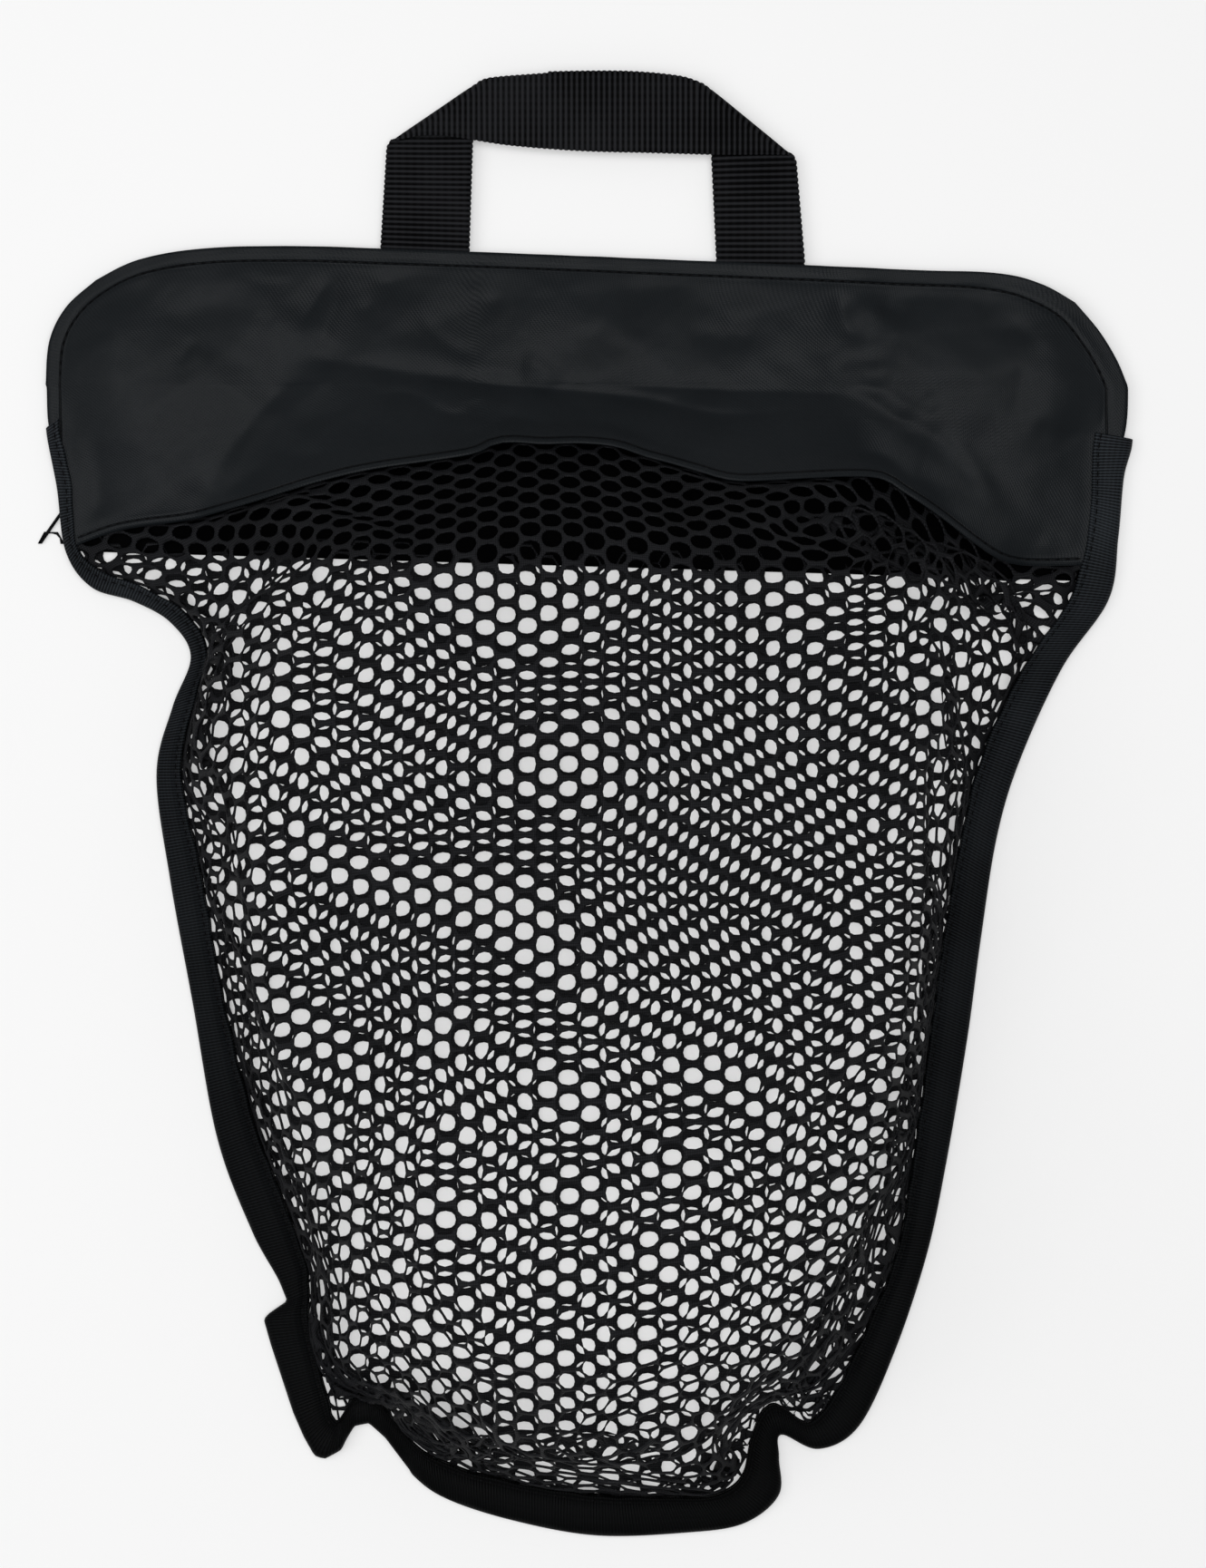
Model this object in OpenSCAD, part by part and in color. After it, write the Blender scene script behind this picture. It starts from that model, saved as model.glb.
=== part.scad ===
/* [Bag] */
// Width across the mouth
mouth_w = 310; // [280:1:340]
// Length from the bottom seam to the mouth's edge
bag_l = 370; // [340:1:400]
// Height of the filled bag above the table
fill_h = 104; // [85:1:120]
// Thickness of one cloth panel
cloth_t = 1; // [0.8:0.1:1.2]
// Height of the crease that the front lip folds along
crease_z = 8.6; // [7:0.2:10]

/* [Netting] */
// Columns of holes across the front panel
hole_cols = 12; // [8:1:12]
// Holes in one column of the front panel
hole_rows = 9; // [6:1:10]
// Distance between the back panel's columns of holes
back_column = 21.5; // [19:0.5:26]
// Width of the bars between the back panel's holes
back_bar = 6.5; // [5:0.5:9]

/* [Edge binding] */
// Thickness of one leaf of the folded tape
tape_t = 0.9; // [0.7:0.1:1.1]

/* [Handle] */
// Width of the webbing
web_w = 25; // [20:1:30]
// Thickness of the webbing
web_t = 1.6; // [1.2:0.1:2]
// Width of the handle over both legs
handle_w = 120; // [105:1:140]
// Reach of the handle past the mouth's edge
handle_l = 54; // [45:1:60]

/* [Hidden] */

black_yarn = [0.06, 0.06, 0.065];
black_cloth = [0.11, 0.11, 0.12];
black_tape = [0.08, 0.08, 0.085];
black_web = [0.05, 0.05, 0.055];

// The outline is drawn for a bag 310 wide and 370 long, and stretched to the size asked for
sx = mouth_w / 310;
sy = bag_l / 370;
function at(p) = [p[0] * sx, p[1] * sy];

// Levels of the four layers at the bound edge, from the table up
play = 0.05;
back_z = tape_t + play;                        // underside of the back panel inside the tape
front_z = back_z + cloth_t + play + cloth_t / 2; // middle of the front panel inside the tape
slot_top = front_z + cloth_t / 2 + play;
tape_z = slot_top + tape_t;
lip_edge_z = max(front_z + 1, tape_t + web_t + 1); // middle of the front lip at the mouth's edge

// Stations along the bound edge: outer edge and inner edge of the tape, from the left end of the
// lip's crease, down the left side, round the bottom with its two folds and up the right side.
edge = [
    [-155, 119.2, -151, 119.2], [-155.1, 107, -151, 107], [-152.5, 90, -148, 90],
    [-149, 72, -146, 75], [-142, 61.5, -140, 66.5], [-130, 57.5, -128, 62],
    [-119.5, 51.5, -115.5, 54.5], [-114.5, 41.5, -109.5, 43], [-120, 27, -113.5, 29],
    [-123.5, 8, -116.2, 8], [-120, -22, -110.6, -20], [-113, -57, -103.8, -56],
    [-105.5, -96, -94.8, -92], [-96, -123, -84.5, -120], [-87, -141, -79, -138],
    [-91, -153, -80.5, -150], [-85, -174, -75, -168], [-76.5, -187, -72, -175],
    [-66, -178, -66, -168.5], [-59, -180.5, -60, -171], [-51, -191, -52, -180.5],
    [-41, -199.5, -42, -188.8], [-22, -205.3, -22, -194], [2, -209.7, 2, -197.8],
    [27, -209, 23, -198.4], [44, -206, 37, -197.4], [54.3, -198, 44, -191.5],
    [55.2, -188, 47.5, -181], [55.5, -181.5, 53, -172.5], [66, -185, 62.5, -177],
    [77.5, -178.5, 69.5, -170.5], [87, -157, 77.5, -153], [96, -129.5, 87, -128.5],
    [103, -104, 93.5, -101], [108.5, -68, 98.2, -64], [112.3, -40, 102.3, -35],
    [117, -10, 107.8, -5], [124, 12, 114, 15.6], [136, 38.5, 125, 38.7], [149, 58, 138.2, 59],
    [151.5, 76, 143.6, 79], [152.8, 93, 144.6, 93], [155, 104, 144.8, 104],
    [154.5, 119.2, 150, 119.2]];
tape_from = 1;       // station where the tape starts, at the left end of the mouth
tape_to = 42;        // station where it ends, at the right end of the mouth
seam_left = 3;       // stations where the front yoke's lower edge meets the tape
seam_right = 39.5;
corner_left = 17;    // stations beside the two folds, at the panels' lower corners
corner_right = 30;
waist_left = 8;      // stations between which the filled part reaches the tape
waist_right = 38;
tuck = 0.75;         // how far into the tape the panels reach, less where the tape folds
tuck_at = [[6, 1], [7, 0.85], [8, 1], [16, 1], [17, 0.75], [20, 0.75], [21, 1], [25, 1], [26, 0.7],
    [29, 0.7], [31, 1]];
tape_steps = 3;      // sections of tape between two stations
// how far past the tape's inner edge the front panel still lies flat, as a share of the tape's width
flat_past = [[0, 0], [2, 0.06], [6, 0.06], [7, 0.2], [8, 0.06], [15, 0.06], [17, 0.3], [20, 0.3],
    [21.5, 0.06], [23.5, 0.06], [25, 0.55], [26, 0.6], [27, 0.3], [29, 0.3], [30.5, 0.06],
    [41, 0.06], [43, 0]];
corner_step = 0.25;  // how far the tucked edge's points keep from the two corners, in stations

// Lower edge of the front yoke, which the filled part pushes into waves
yoke_edge = [[-146, 75], [-115, 81], [-87, 88], [-62, 93.5], [-28, 101], [-2, 101], [21, 96],
    [40, 91.5], [61, 92], [86, 91.5], [100, 80], [114, 71], [141, 69]];
// Foot of the filled part across the mouth, from the right waist back to the left one
foot = [[130, 56], [117, 81], [101, 97], [84, 105], [64, 112], [31, 113], [-14, 115], [-44, 117],
    [-72, 116], [-93, 107], [-110, 88], [-119, 58]];
fold_t = 0.3;        // thickness of the cloth along the crease
mouth_y = 156;       // the mouth's edge at x = 0
mouth_slope = -0.038; // its fall for each millimetre to the right
function mouth_at(x) = mouth_y + mouth_slope * x;
// Outline of the lip: left corner, mouth's edge, right corner
lip_left = [[-155, 119.5], [-154.3, 133], [-147.5, 144.3], [-137, 151.5]];
lip_top = concat([[-137, 151.5], [-117, 158]], [for (x = [-100:50:100]) [x, mouth_at(x)]],
    [[117, 151.5], [131, 148], [140, 142.5]]);
lip_right = [[154.4, 119.5], [152.5, 127], [148, 134.5], [140, 142.5]];

mesh_middle = -60;   // a bar of the back netting crosses the middle line here

// Back yoke's lower edge
back_seam = [[-200, 73], [200, 62.3]];

// The filled part: an egg-shaped rim with a domed face over it and a round boss near its lower end
rim_c = [-0.6, -20];
rim_a = 90;
rim_up = 93;
rim_down = 161;
rim_z = 51.5;        // the rim's height at y = 0, and its rise for each millimetre up the bag
rim_rise = 0.075;
dome_h = 25;
boss_c = [-0.5, -105];
boss_r = 41.6;
boss_z = 103.5;
boss_sag = 3;        // how much lower the boss's edge is than its middle
boss_fall = [0.45, 1.65]; // slope around the boss, up the bag and everywhere else
blend_z = 5;

// The panel's cells: a bar and two open cells across, a bar and three open cells along
cols = 3 * hole_cols + 1;
mesh_rows = 4 * hole_rows + 1;
zigzag = 0.32;       // how far the upright bars sway round the holes, as a share of a cell
yoke_rows = 7;
lip_rows = 6;

function mix(a, b, t) = a + (b - a) * t;
function soft(t) = let (c = max(0, min(1, t))) c * c * (3 - 2 * c);
function smooth_max(a, b, k) = (a + b + sqrt((a - b) * (a - b) + k * k)) / 2;

// Smooth curve through points, at a place counted in points from the first
function curve(pts, s) =
    let (n = len(pts) - 1, i = max(0, min(floor(s), n - 1)), t = s - i,
        p0 = pts[max(i - 1, 0)], p1 = pts[i], p2 = pts[i + 1], p3 = pts[min(i + 2, n)])
    0.5 * (2 * p1 + (p2 - p0) * t + (2 * p0 - 5 * p1 + 4 * p2 - p3) * t * t
        + (3 * p1 - p0 - 3 * p2 + p3) * t * t * t);

function outer(s) = let (e = curve(edge, s)) at([e[0], e[1]]);
function inner(s) = let (e = curve(edge, s)) at([e[2], e[3]]);
// Edge of a panel inside the tape, and on the outline where there is no tape
function tucked(s) =
    let (free = max(0, tape_from - s, s - tape_to))
    mix(inner(s), outer(s), mix(tuck * lookup(s, tuck_at), 1, min(1, free)));
// Edge of the front panel's flat margin
function margin(s) = mix(inner(s), outer(s), -lookup(s, flat_past));

// Places along a curve that lie equal lengths apart
function lengths(pts, i = 1, sum = 0) =
    i >= len(pts) ? [sum] : concat([sum], lengths(pts, i + 1, sum + norm(pts[i] - pts[i - 1])));
function even(places, pts, count) =
    let (l = lengths(pts), table = [for (i = [0:len(pts) - 1]) [l[i], places[i]]], all = l[len(l) - 1])
    [for (i = [0:count]) lookup(all * i / count, table)];
function even_stations(s0, s1, count) =
    let (places = [for (i = [0:80]) mix(s0, s1, i / 80)])
    even(places, [for (s = places) inner(s)], count);
function even_points(pts, count) =
    let (n = len(pts) - 1, places = [for (i = [0:80]) n * i / 80])
    [for (s = even(places, [for (q = places) at(curve(pts, q))], count)) at(curve(pts, s))];

// Patch between four curves: the same number of points on low and high, and on left and right
function patch(low, high, left, right) =
    let (nu = len(low) - 1, nv = len(left) - 1)
    [for (j = [0:nv]) let (v = j / nv)
        [for (i = [0:nu]) let (u = i / nu)
            mix(low[i], high[i], v) + mix(left[j], right[j], u)
            - mix(mix(low[0], low[nu], u), mix(high[0], high[nu], u), v)]];

foot_line = concat([for (i = [waist_left:waist_right]) at([edge[i][2], edge[i][3]])],
    [for (p = foot) at(p)]);

function segment_distance(p, a, b) =
    let (d = b - a, t = max(0, min(1, ((p - a) * d) / (d * d)))) norm(p - a - d * t);
function gap_to(p, loop) =
    min([for (i = [0:len(loop) - 1]) segment_distance(p, loop[i], loop[(i + 1) % len(loop)])]);
function crosses(p, a, b) =
    (a[1] > p[1]) != (b[1] > p[1]) && p[0] < a[0] + (b[0] - a[0]) * (p[1] - a[1]) / (b[1] - a[1]);
function within(p, loop) =
    len([for (i = [0:len(loop) - 1]) if (crosses(p, loop[i], loop[(i + 1) % len(loop)])) i]) % 2 == 1;

// 1 on the rim, less inside it
function rim_ratio(p) =
    let (d = [abs(p[0] - rim_c[0]) / rim_a, (p[1] - rim_c[1]) / (p[1] > rim_c[1] ? rim_up : -rim_down)],
        n = p[1] > rim_c[1] ? 2.9 : 1.9)
    pow(pow(d[0], n) + pow(d[1], n), 1 / n);
function boss_height(p) =
    let (d = p - boss_c, r = norm(d), from_up = abs(atan2(d[0], d[1])),
        fall = mix(boss_fall[0], boss_fall[1], soft(from_up / 85)))
    boss_z - boss_sag * pow(min(r, boss_r) / boss_r, 2) - fall * max(0, r - boss_r);
function face_height(p) =
    let (q = rim_ratio(p))
    smooth_max(rim_z + rim_rise * p[1] + dome_h * (1 - q * q), boss_height(p), blend_z);

// Middle of the front cloth over a point, where the cloth that isn't lifted lies at base
function cloth_height(point, base) =
    let (p = [point[0] / sx, point[1] / sy], q = rim_ratio(p), k = fill_h / 104)
    q <= 1 ? k * face_height(p)
    : !within(point, foot_line) ? base
    : let (rim = rim_c + (p - rim_c) / q, to_rim = norm(p - rim), to_foot = gap_to(point, foot_line),
        gap = to_rim + to_foot)
        base + (k * face_height(rim) - base) * pow(to_foot / gap, 1 + max(0, gap - 30) / 90);

// Cloth that isn't lifted rises from the bound edges to the crease
function base_height(p, to_side) =
    mix(front_z, crease_z, soft((p[1] / sy - 60) / 55) * soft(to_side / 22));

// Rows of the front panel, tucked edge first, with a tucked point at each end
function panel_row(row, left, right, flat = false) =
    let (n = len(row) - 1)
    concat([concat(tucked(left), [front_z])],
        [for (i = [0:n])
            let (p = row[i], side = min(norm(p - row[0]), norm(p - row[n])))
            concat(p, [flat || i == 0 || i == n ? front_z : cloth_height(p, base_height(p, side))])],
        [concat(tucked(right), [front_z])]);

bottom_s = even_stations(corner_left, corner_right, cols);
mesh_left_s = even_stations(corner_left, seam_left, mesh_rows);
mesh_right_s = even_stations(corner_right, seam_right, mesh_rows);
yoke_left_s = even_stations(seam_left, 0, yoke_rows);
yoke_right_s = even_stations(seam_right, len(edge) - 1, yoke_rows);
function drawn(p) = [p[0] / sx, p[1] / sy];
seam_line = even_points(concat([drawn(margin(seam_left))],
    [for (i = [1:len(yoke_edge) - 2]) yoke_edge[i]], [drawn(margin(seam_right))]), cols);
crease_line = [for (i = [0:cols]) mix(inner(0), inner(len(edge) - 1), i / cols)];

// A cell is open where the netting has a hole; every second column of holes sits half a hole higher
function hole_phase(column) = column % 2 == 0 ? 0 : 2;
function is_open(j, i) =
    i % 3 != 0 && i > 0 && i < cols && j > 0 && j < mesh_rows - 1 && j % 4 != hole_phase(floor(i / 3));
// The upright bars sway so that the holes are widest half-way up
function sway(j, i) =
    i <= 0 || i >= cols || i % 3 == 2 || j <= 0 || j >= mesh_rows ? 0
    : zigzag * cos(90 * (j - 2.5 - hole_phase(floor(i / 3) + 1)));
flat_plan = patch([for (s = bottom_s) margin(s)], seam_line,
    [for (s = mesh_left_s) margin(s)], [for (s = mesh_right_s) margin(s)]);
mesh_plan = [for (j = [0:mesh_rows])
    [for (i = [0:cols])
        flat_plan[j][i] + sway(j, i) * (flat_plan[j][min(i + 1, cols)] - flat_plan[j][max(i - 1, 0)]) / 2]];
yoke_plan = patch(seam_line, crease_line, [for (s = yoke_left_s) margin(s)],
    [for (s = yoke_right_s) margin(s)]);

bottom_tucked_s = concat([corner_left, corner_left + corner_step],
    [for (i = [1:cols - 1]) bottom_s[i]], [corner_right - corner_step, corner_right]);
bottom_row = [for (s = bottom_tucked_s) concat(tucked(s), [front_z])];
mesh_grid = [for (j = [0:mesh_rows])
    let (step = j == 0 ? corner_step : 0)
    panel_row(mesh_plan[j], mesh_left_s[j] - step, mesh_right_s[j] + step, j == 0)];
yoke_grid = [for (j = [1:yoke_rows]) panel_row(yoke_plan[j], yoke_left_s[j], yoke_right_s[j])];
seam_row = mesh_rows + 1;
front_grid = concat([bottom_row], mesh_grid, yoke_grid);

// The lip's own grid, from the crease to the mouth's edge
lip_plan = patch([for (i = [0:cols + 2]) mix(at(lip_left[0]), at(lip_right[0]), i / (cols + 2))],
    even_points(lip_top, cols + 2), even_points(lip_left, lip_rows), even_points(lip_right, lip_rows));
lip_grid = [for (j = [0:lip_rows])
    [for (i = [0:cols + 2])
        let (p = lip_plan[j][i], row = lip_plan[j],
            side = min(norm(p - row[0]), norm(p - row[cols + 2])))
        concat(p, [mix(mix(front_z, crease_z, soft(side / 22)), lip_edge_z, soft(j / lip_rows))])]];

function grid_normal(g, j, i) =
    let (n = cross(g[j][min(i + 1, len(g[j]) - 1)] - g[j][max(i - 1, 0)],
        g[min(j + 1, len(g) - 1)][i] - g[max(j - 1, 0)][i]))
    n / norm(n);
function is_rim(g, j, i) = i <= 1 || i >= len(g[j]) - 2 || j <= 1;
// Grid moved by a distance to one side of the cloth; its bound edges move straight up or down
function moved(g, d) =
    [for (j = [0:len(g) - 1]) [for (i = [0:len(g[j]) - 1])
        g[j][i] + d * (is_rim(g, j, i) ? [0, 0, 1] : grid_normal(g, j, i))]];
// The same for the lip, which is flat and thins to its fold along the crease
function lip_moved(d) =
    [for (j = [0:lip_rows]) [for (p = lip_grid[j])
        p + [0, 0, j == 0 ? d * fold_t / cloth_t : d]]];
function part_of(g, from, to) = [for (j = [from:to]) g[j]];

// Closed skin between two grids of the same size, with the netting's holes where netted is true
module skin(low, high, netted = false) {
    r = len(low);
    c = len(low[0]);
    n = r * c;
    function hi(j, i) = j * c + i;
    function lo(j, i) = n + j * c + i;
    // the grid's cells and the netting's are counted from a tucked row and a tucked column
    function is_hole(j, i) = netted && is_open(j - 1, i - 1);
    cells = [for (j = [0:r - 2]) for (i = [0:c - 2]) if (!is_hole(j, i)) [j, i]];
    holes = [for (j = [0:r - 2]) for (i = [0:c - 2]) if (is_hole(j, i)) [j, i]];
    hole_walls = [for (q = holes) let (j = q[0], i = q[1]) for (t = concat(
        is_hole(j + 1, i) ? [] : [[hi(j + 1, i), hi(j + 1, i + 1), lo(j + 1, i + 1)],
            [hi(j + 1, i), lo(j + 1, i + 1), lo(j + 1, i)]],
        is_hole(j - 1, i) ? [] : [[hi(j, i + 1), hi(j, i), lo(j, i)], [hi(j, i + 1), lo(j, i), lo(j, i + 1)]],
        is_hole(j, i - 1) ? [] : [[hi(j, i), hi(j + 1, i), lo(j + 1, i)], [hi(j, i), lo(j + 1, i), lo(j, i)]],
        is_hole(j, i + 1) ? [] : [[hi(j + 1, i + 1), hi(j, i + 1), lo(j, i + 1)],
            [hi(j + 1, i + 1), lo(j, i + 1), lo(j + 1, i + 1)]])) t];
    top = [for (q = cells) let (j = q[0], i = q[1])
        for (t = [[hi(j, i), hi(j + 1, i), hi(j + 1, i + 1)], [hi(j, i), hi(j + 1, i + 1), hi(j, i + 1)]]) t];
    under = [for (q = cells) let (j = q[0], i = q[1])
        for (t = [[lo(j, i), lo(j + 1, i + 1), lo(j + 1, i)], [lo(j, i), lo(j, i + 1), lo(j + 1, i + 1)]]) t];
    ends = [for (i = [0:c - 2]) for (t = [
        [hi(0, i), hi(0, i + 1), lo(0, i + 1)], [hi(0, i), lo(0, i + 1), lo(0, i)],
        [hi(r - 1, i + 1), hi(r - 1, i), lo(r - 1, i)],
        [hi(r - 1, i + 1), lo(r - 1, i), lo(r - 1, i + 1)]]) t];
    sides = [for (j = [0:r - 2]) for (t = [
        [hi(j + 1, 0), hi(j, 0), lo(j, 0)], [hi(j + 1, 0), lo(j, 0), lo(j + 1, 0)],
        [hi(j, c - 1), hi(j + 1, c - 1), lo(j + 1, c - 1)],
        [hi(j, c - 1), lo(j + 1, c - 1), lo(j, c - 1)]]) t];
    polyhedron([for (g = [high, low]) for (row = g) for (p = row) p], concat(top, under, ends, sides,
        hole_walls));
}

module front_panel(from, to, netted) {
    skin(part_of(moved(front_grid, -cloth_t / 2), from, to),
        part_of(moved(front_grid, cloth_t / 2), from, to), netted);
}

// Back panel's outline: bound edge first, then the mouth's edge from right to left
function back_outline(bound) = concat(bound,
    [for (i = [0:8]) at(curve(lip_right, 3 * i / 8))],
    [for (i = [1:23]) at(curve(lip_top, 9 * (24 - i) / 24))],
    [for (i = [0:8]) at(curve(lip_left, 3 * (8 - i) / 8))]);
tape_places = [for (i = [0:(tape_to - tape_from) * tape_steps]) tape_from + i / tape_steps];
// Point beside the tape's inner edge, a distance further in
function beside(s, d) = let (a = outer(s), b = inner(s)) b + (b - a) * (d / norm(b - a));

module back_sheet() {
    // on the table inside the tape
    linear_extrude(cloth_t)
        polygon(back_outline(concat([outer(0)], [for (s = tape_places) beside(s, 0.3)],
            [outer(len(edge) - 1)])));
    // stepped up on to the tape's lower leaf
    translate([0, 0, back_z])
        linear_extrude(cloth_t)
            polygon(concat([for (s = tape_places) tucked(s)],
                [for (i = [1:len(tape_places)]) beside(tape_places[len(tape_places) - i], 2.3)]));
}

// Everything on one side of the back yoke's lower edge
module back_half(side) {
    a = at(back_seam[0]);
    b = at(back_seam[1]);
    translate([0, 0, -1])
        linear_extrude(tape_z + 2)
            polygon([a, b, b + [0, side * 400], a + [0, side * 400]]);
}

// Six-sided holes of the back netting, in columns like the front's, wherever a whole one fits
back_bound = concat([for (s = [seam_left:seam_right]) inner(s)], [at(back_seam[1]), at(back_seam[0])]);
back_r = (back_column - back_bar) / 1.5;
back_pitch = back_r * sqrt(3) + back_bar;
back_holes = [for (k = [-6:6]) for (j = [-9:4])
    let (p = [k * back_column, (j + (k % 2 == 0 ? 0.5 : 0)) * back_pitch + mesh_middle])
    if (within(p, back_bound) && gap_to(p, back_bound) > back_r + back_bar / 2) p];

module back_mesh() {
    color(black_yarn) difference() {
        intersection() {
            back_sheet();
            back_half(-1);
        }
        translate([0, 0, -1])
            linear_extrude(cloth_t + 2)
                for (p = back_holes) translate(p) circle(r = back_r, $fn = 6);
    }
}

module back_yoke() {
    color(black_cloth) intersection() {
        back_sheet();
        back_half(1);
    }
}

module front_mesh() {
    color(black_yarn) front_panel(0, seam_row, true);
}

module front_yoke() {
    color(black_cloth) front_panel(seam_row, seam_row + yoke_rows, false);
}

module front_mouth_lip() {
    color(black_cloth) skin(lip_moved(-cloth_t / 2), lip_moved(cloth_t / 2));
}

// Tape folded over the edges of both panels, as one closed skin along the bound edge
module edge_binding() {
    web = (1 - tuck) * 0.6;    // share of the tape's width that is solid beside the slot
    function section(s) =
        let (a = outer(s), b = inner(s), cut = 0.4, w = norm(b - a))
        [for (q = [[0, cut], [cut / w, 0], [1, 0], [1, tape_t], [web, tape_t], [web, slot_top],
            [1, slot_top], [1, tape_z], [cut / w, tape_z], [0, tape_z - cut]])
            concat(mix(a, b, q[0]), [q[1]])];
    rings = [for (s = tape_places) section(s)];
    m = len(rings[0]);
    n = len(rings);
    walls = [for (j = [0:n - 2]) for (i = [0:m - 1])
        let (a = j * m + i, b = j * m + (i + 1) % m)
        for (t = [[a, b, b + m], [a, b + m, a + m]]) t];
    last = (n - 1) * m;
    caps = [for (t = [[0, 9, 8], [0, 8, 5], [0, 5, 4], [0, 4, 1], [1, 4, 3], [1, 3, 2], [5, 8, 7], [5, 7, 6]])
        for (f = [t, [last + t[0], last + t[2], last + t[1]]]) f];
    color(black_tape)
        polyhedron([for (r = rings) for (p = r) p], concat(walls, caps));
}

// Handle: two legs whose ends turn in the lip's hem, and a strap folded across them
handle_x = 1.25;               // middle of the handle
axis_back = 0.4 + web_t / 2;   // from the mouth's edge to the axis
function axis_y(x) = sy * mouth_at(x / sx) + axis_back;
module carry_handle() {
    left = handle_x - handle_w / 2;
    right = handle_x + handle_w / 2;
    top = axis_y(0) + handle_l - axis_back;
    fold = top - web_w + 1.5;  // level where the legs fold under the strap
    outline = [[left, fold + 1], [left + 6, fold + 5], [left + 29, top - 2], [left + 46, top],
        [right - 46, top], [right - 29, top - 2], [right - 5, fold + 3], [right, fold - 1]];
    strap = concat(outline, [[right - web_w, fold + 0.5], [left + web_w, fold + 0.5]]);
    turn = atan(mouth_slope * sy / sx);
    color(black_web) {
        for (x = [left, right - web_w]) {
            translate([0, 0, lip_edge_z - web_t / 2])
                linear_extrude(web_t)
                    intersection() {
                        polygon([[x, axis_y(x)], [x + web_w, axis_y(x + web_w)], [x + web_w, top], [x, top]]);
                        polygon(concat(outline, [[right, 0], [left, 0]]));
                    }
            translate([x, axis_y(x), lip_edge_z])
                rotate([0, 90, turn])
                    cylinder(h = web_w / cos(turn), r = web_t / 2, $fn = 48);
        }
        translate([0, 0, lip_edge_z + web_t / 2])
            linear_extrude(web_t)
                polygon(strap);
    }
}

back_mesh();
back_yoke();
front_mesh();
front_yoke();
front_mouth_lip();
edge_binding();
carry_handle();
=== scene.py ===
import bpy
import math
import numpy as np
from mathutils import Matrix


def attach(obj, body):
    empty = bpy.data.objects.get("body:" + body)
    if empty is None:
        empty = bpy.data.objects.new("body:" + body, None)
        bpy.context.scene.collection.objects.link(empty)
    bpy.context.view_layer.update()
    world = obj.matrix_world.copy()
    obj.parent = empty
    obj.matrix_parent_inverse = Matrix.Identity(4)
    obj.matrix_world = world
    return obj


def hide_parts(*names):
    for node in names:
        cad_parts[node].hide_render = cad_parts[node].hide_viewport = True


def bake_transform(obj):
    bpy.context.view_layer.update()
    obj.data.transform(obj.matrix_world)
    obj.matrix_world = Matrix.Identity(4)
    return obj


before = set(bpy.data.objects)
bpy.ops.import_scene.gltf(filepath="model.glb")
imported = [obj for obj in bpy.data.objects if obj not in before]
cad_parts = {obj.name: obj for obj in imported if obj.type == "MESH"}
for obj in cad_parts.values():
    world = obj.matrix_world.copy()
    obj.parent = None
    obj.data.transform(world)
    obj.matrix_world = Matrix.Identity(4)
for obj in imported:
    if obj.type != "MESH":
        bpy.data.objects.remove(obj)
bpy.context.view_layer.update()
mm = 0.001


# Table, light and camera
# A pale table under soft studio light, seen from about a metre straight above. The table is plain
# board with a matt face.

def clear_selection():
    bpy.ops.object.select_all(action="DESELECT")


def new_finish(name, roughness, shine):
    # a material and the node of its surface
    material = bpy.data.materials.new(name)
    material.use_nodes = True
    face = material.node_tree.nodes["Principled BSDF"]
    face.inputs["Roughness"].default_value = roughness
    face.inputs["Specular IOR Level"].default_value = shine
    return material, face


def add_node(tree, kind, inputs, **settings):
    # each input is given a value or the output of another node
    node = tree.nodes.new(kind)
    node.location.x = 180 * len(tree.nodes)
    for key, value in settings.items():
        setattr(node, key, value)
    for key, value in inputs.items():
        if isinstance(value, bpy.types.NodeSocket):
            tree.links.new(value, node.inputs[key])
        else:
            node.inputs[key].default_value = value
    return node


def maths(tree, operation, *values):
    return add_node(tree, "ShaderNodeMath", dict(enumerate(values)), operation=operation).outputs[0]


clear_selection()
table_size = 6
table_drop = 0.15 * mm
bpy.ops.mesh.primitive_plane_add(size=table_size, location=(0, 0, -table_drop))
table = bpy.context.object
table.name = "table"
bpy.ops.object.transform_apply(location=True)
board, board_face = new_finish("pale_board", roughness=0.9, shine=0.15)
board_face.inputs["Base Color"].default_value = (0.93, 0.93, 0.93, 1)
# the camera sees the board a little paler than the light makes it, with its shadows kept
paler = 0.3
board_tree = board.node_tree
rays = add_node(board_tree, "ShaderNodeLightPath", {}).outputs
seen = maths(board_tree, "MAXIMUM", rays["Is Camera Ray"], rays["Is Glossy Ray"])
seen = maths(board_tree, "MAXIMUM", seen, rays["Is Transmission Ray"])
pale = add_node(board_tree, "ShaderNodeEmission", {"Color": (0.95, 0.95, 0.95, 1), "Strength": 1.0})
seen_face = add_node(board_tree, "ShaderNodeMixShader",
    {"Fac": maths(board_tree, "MULTIPLY", seen, paler), 1: board_face.outputs[0], 2: pale.outputs[0]})
board_tree.links.new(seen_face.outputs[0], board_tree.nodes["Material Output"].inputs["Surface"])
table.data.materials.append(board)

scene = bpy.context.scene
scene.view_settings.view_transform = "Standard"
world = bpy.data.worlds.new("studio")
scene.world = world
world.use_nodes = True
sky = world.node_tree.nodes["Background"]
sky.inputs["Color"].default_value = (1.0, 1.0, 1.0, 1)
sky.inputs["Strength"].default_value = 0.28

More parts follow.
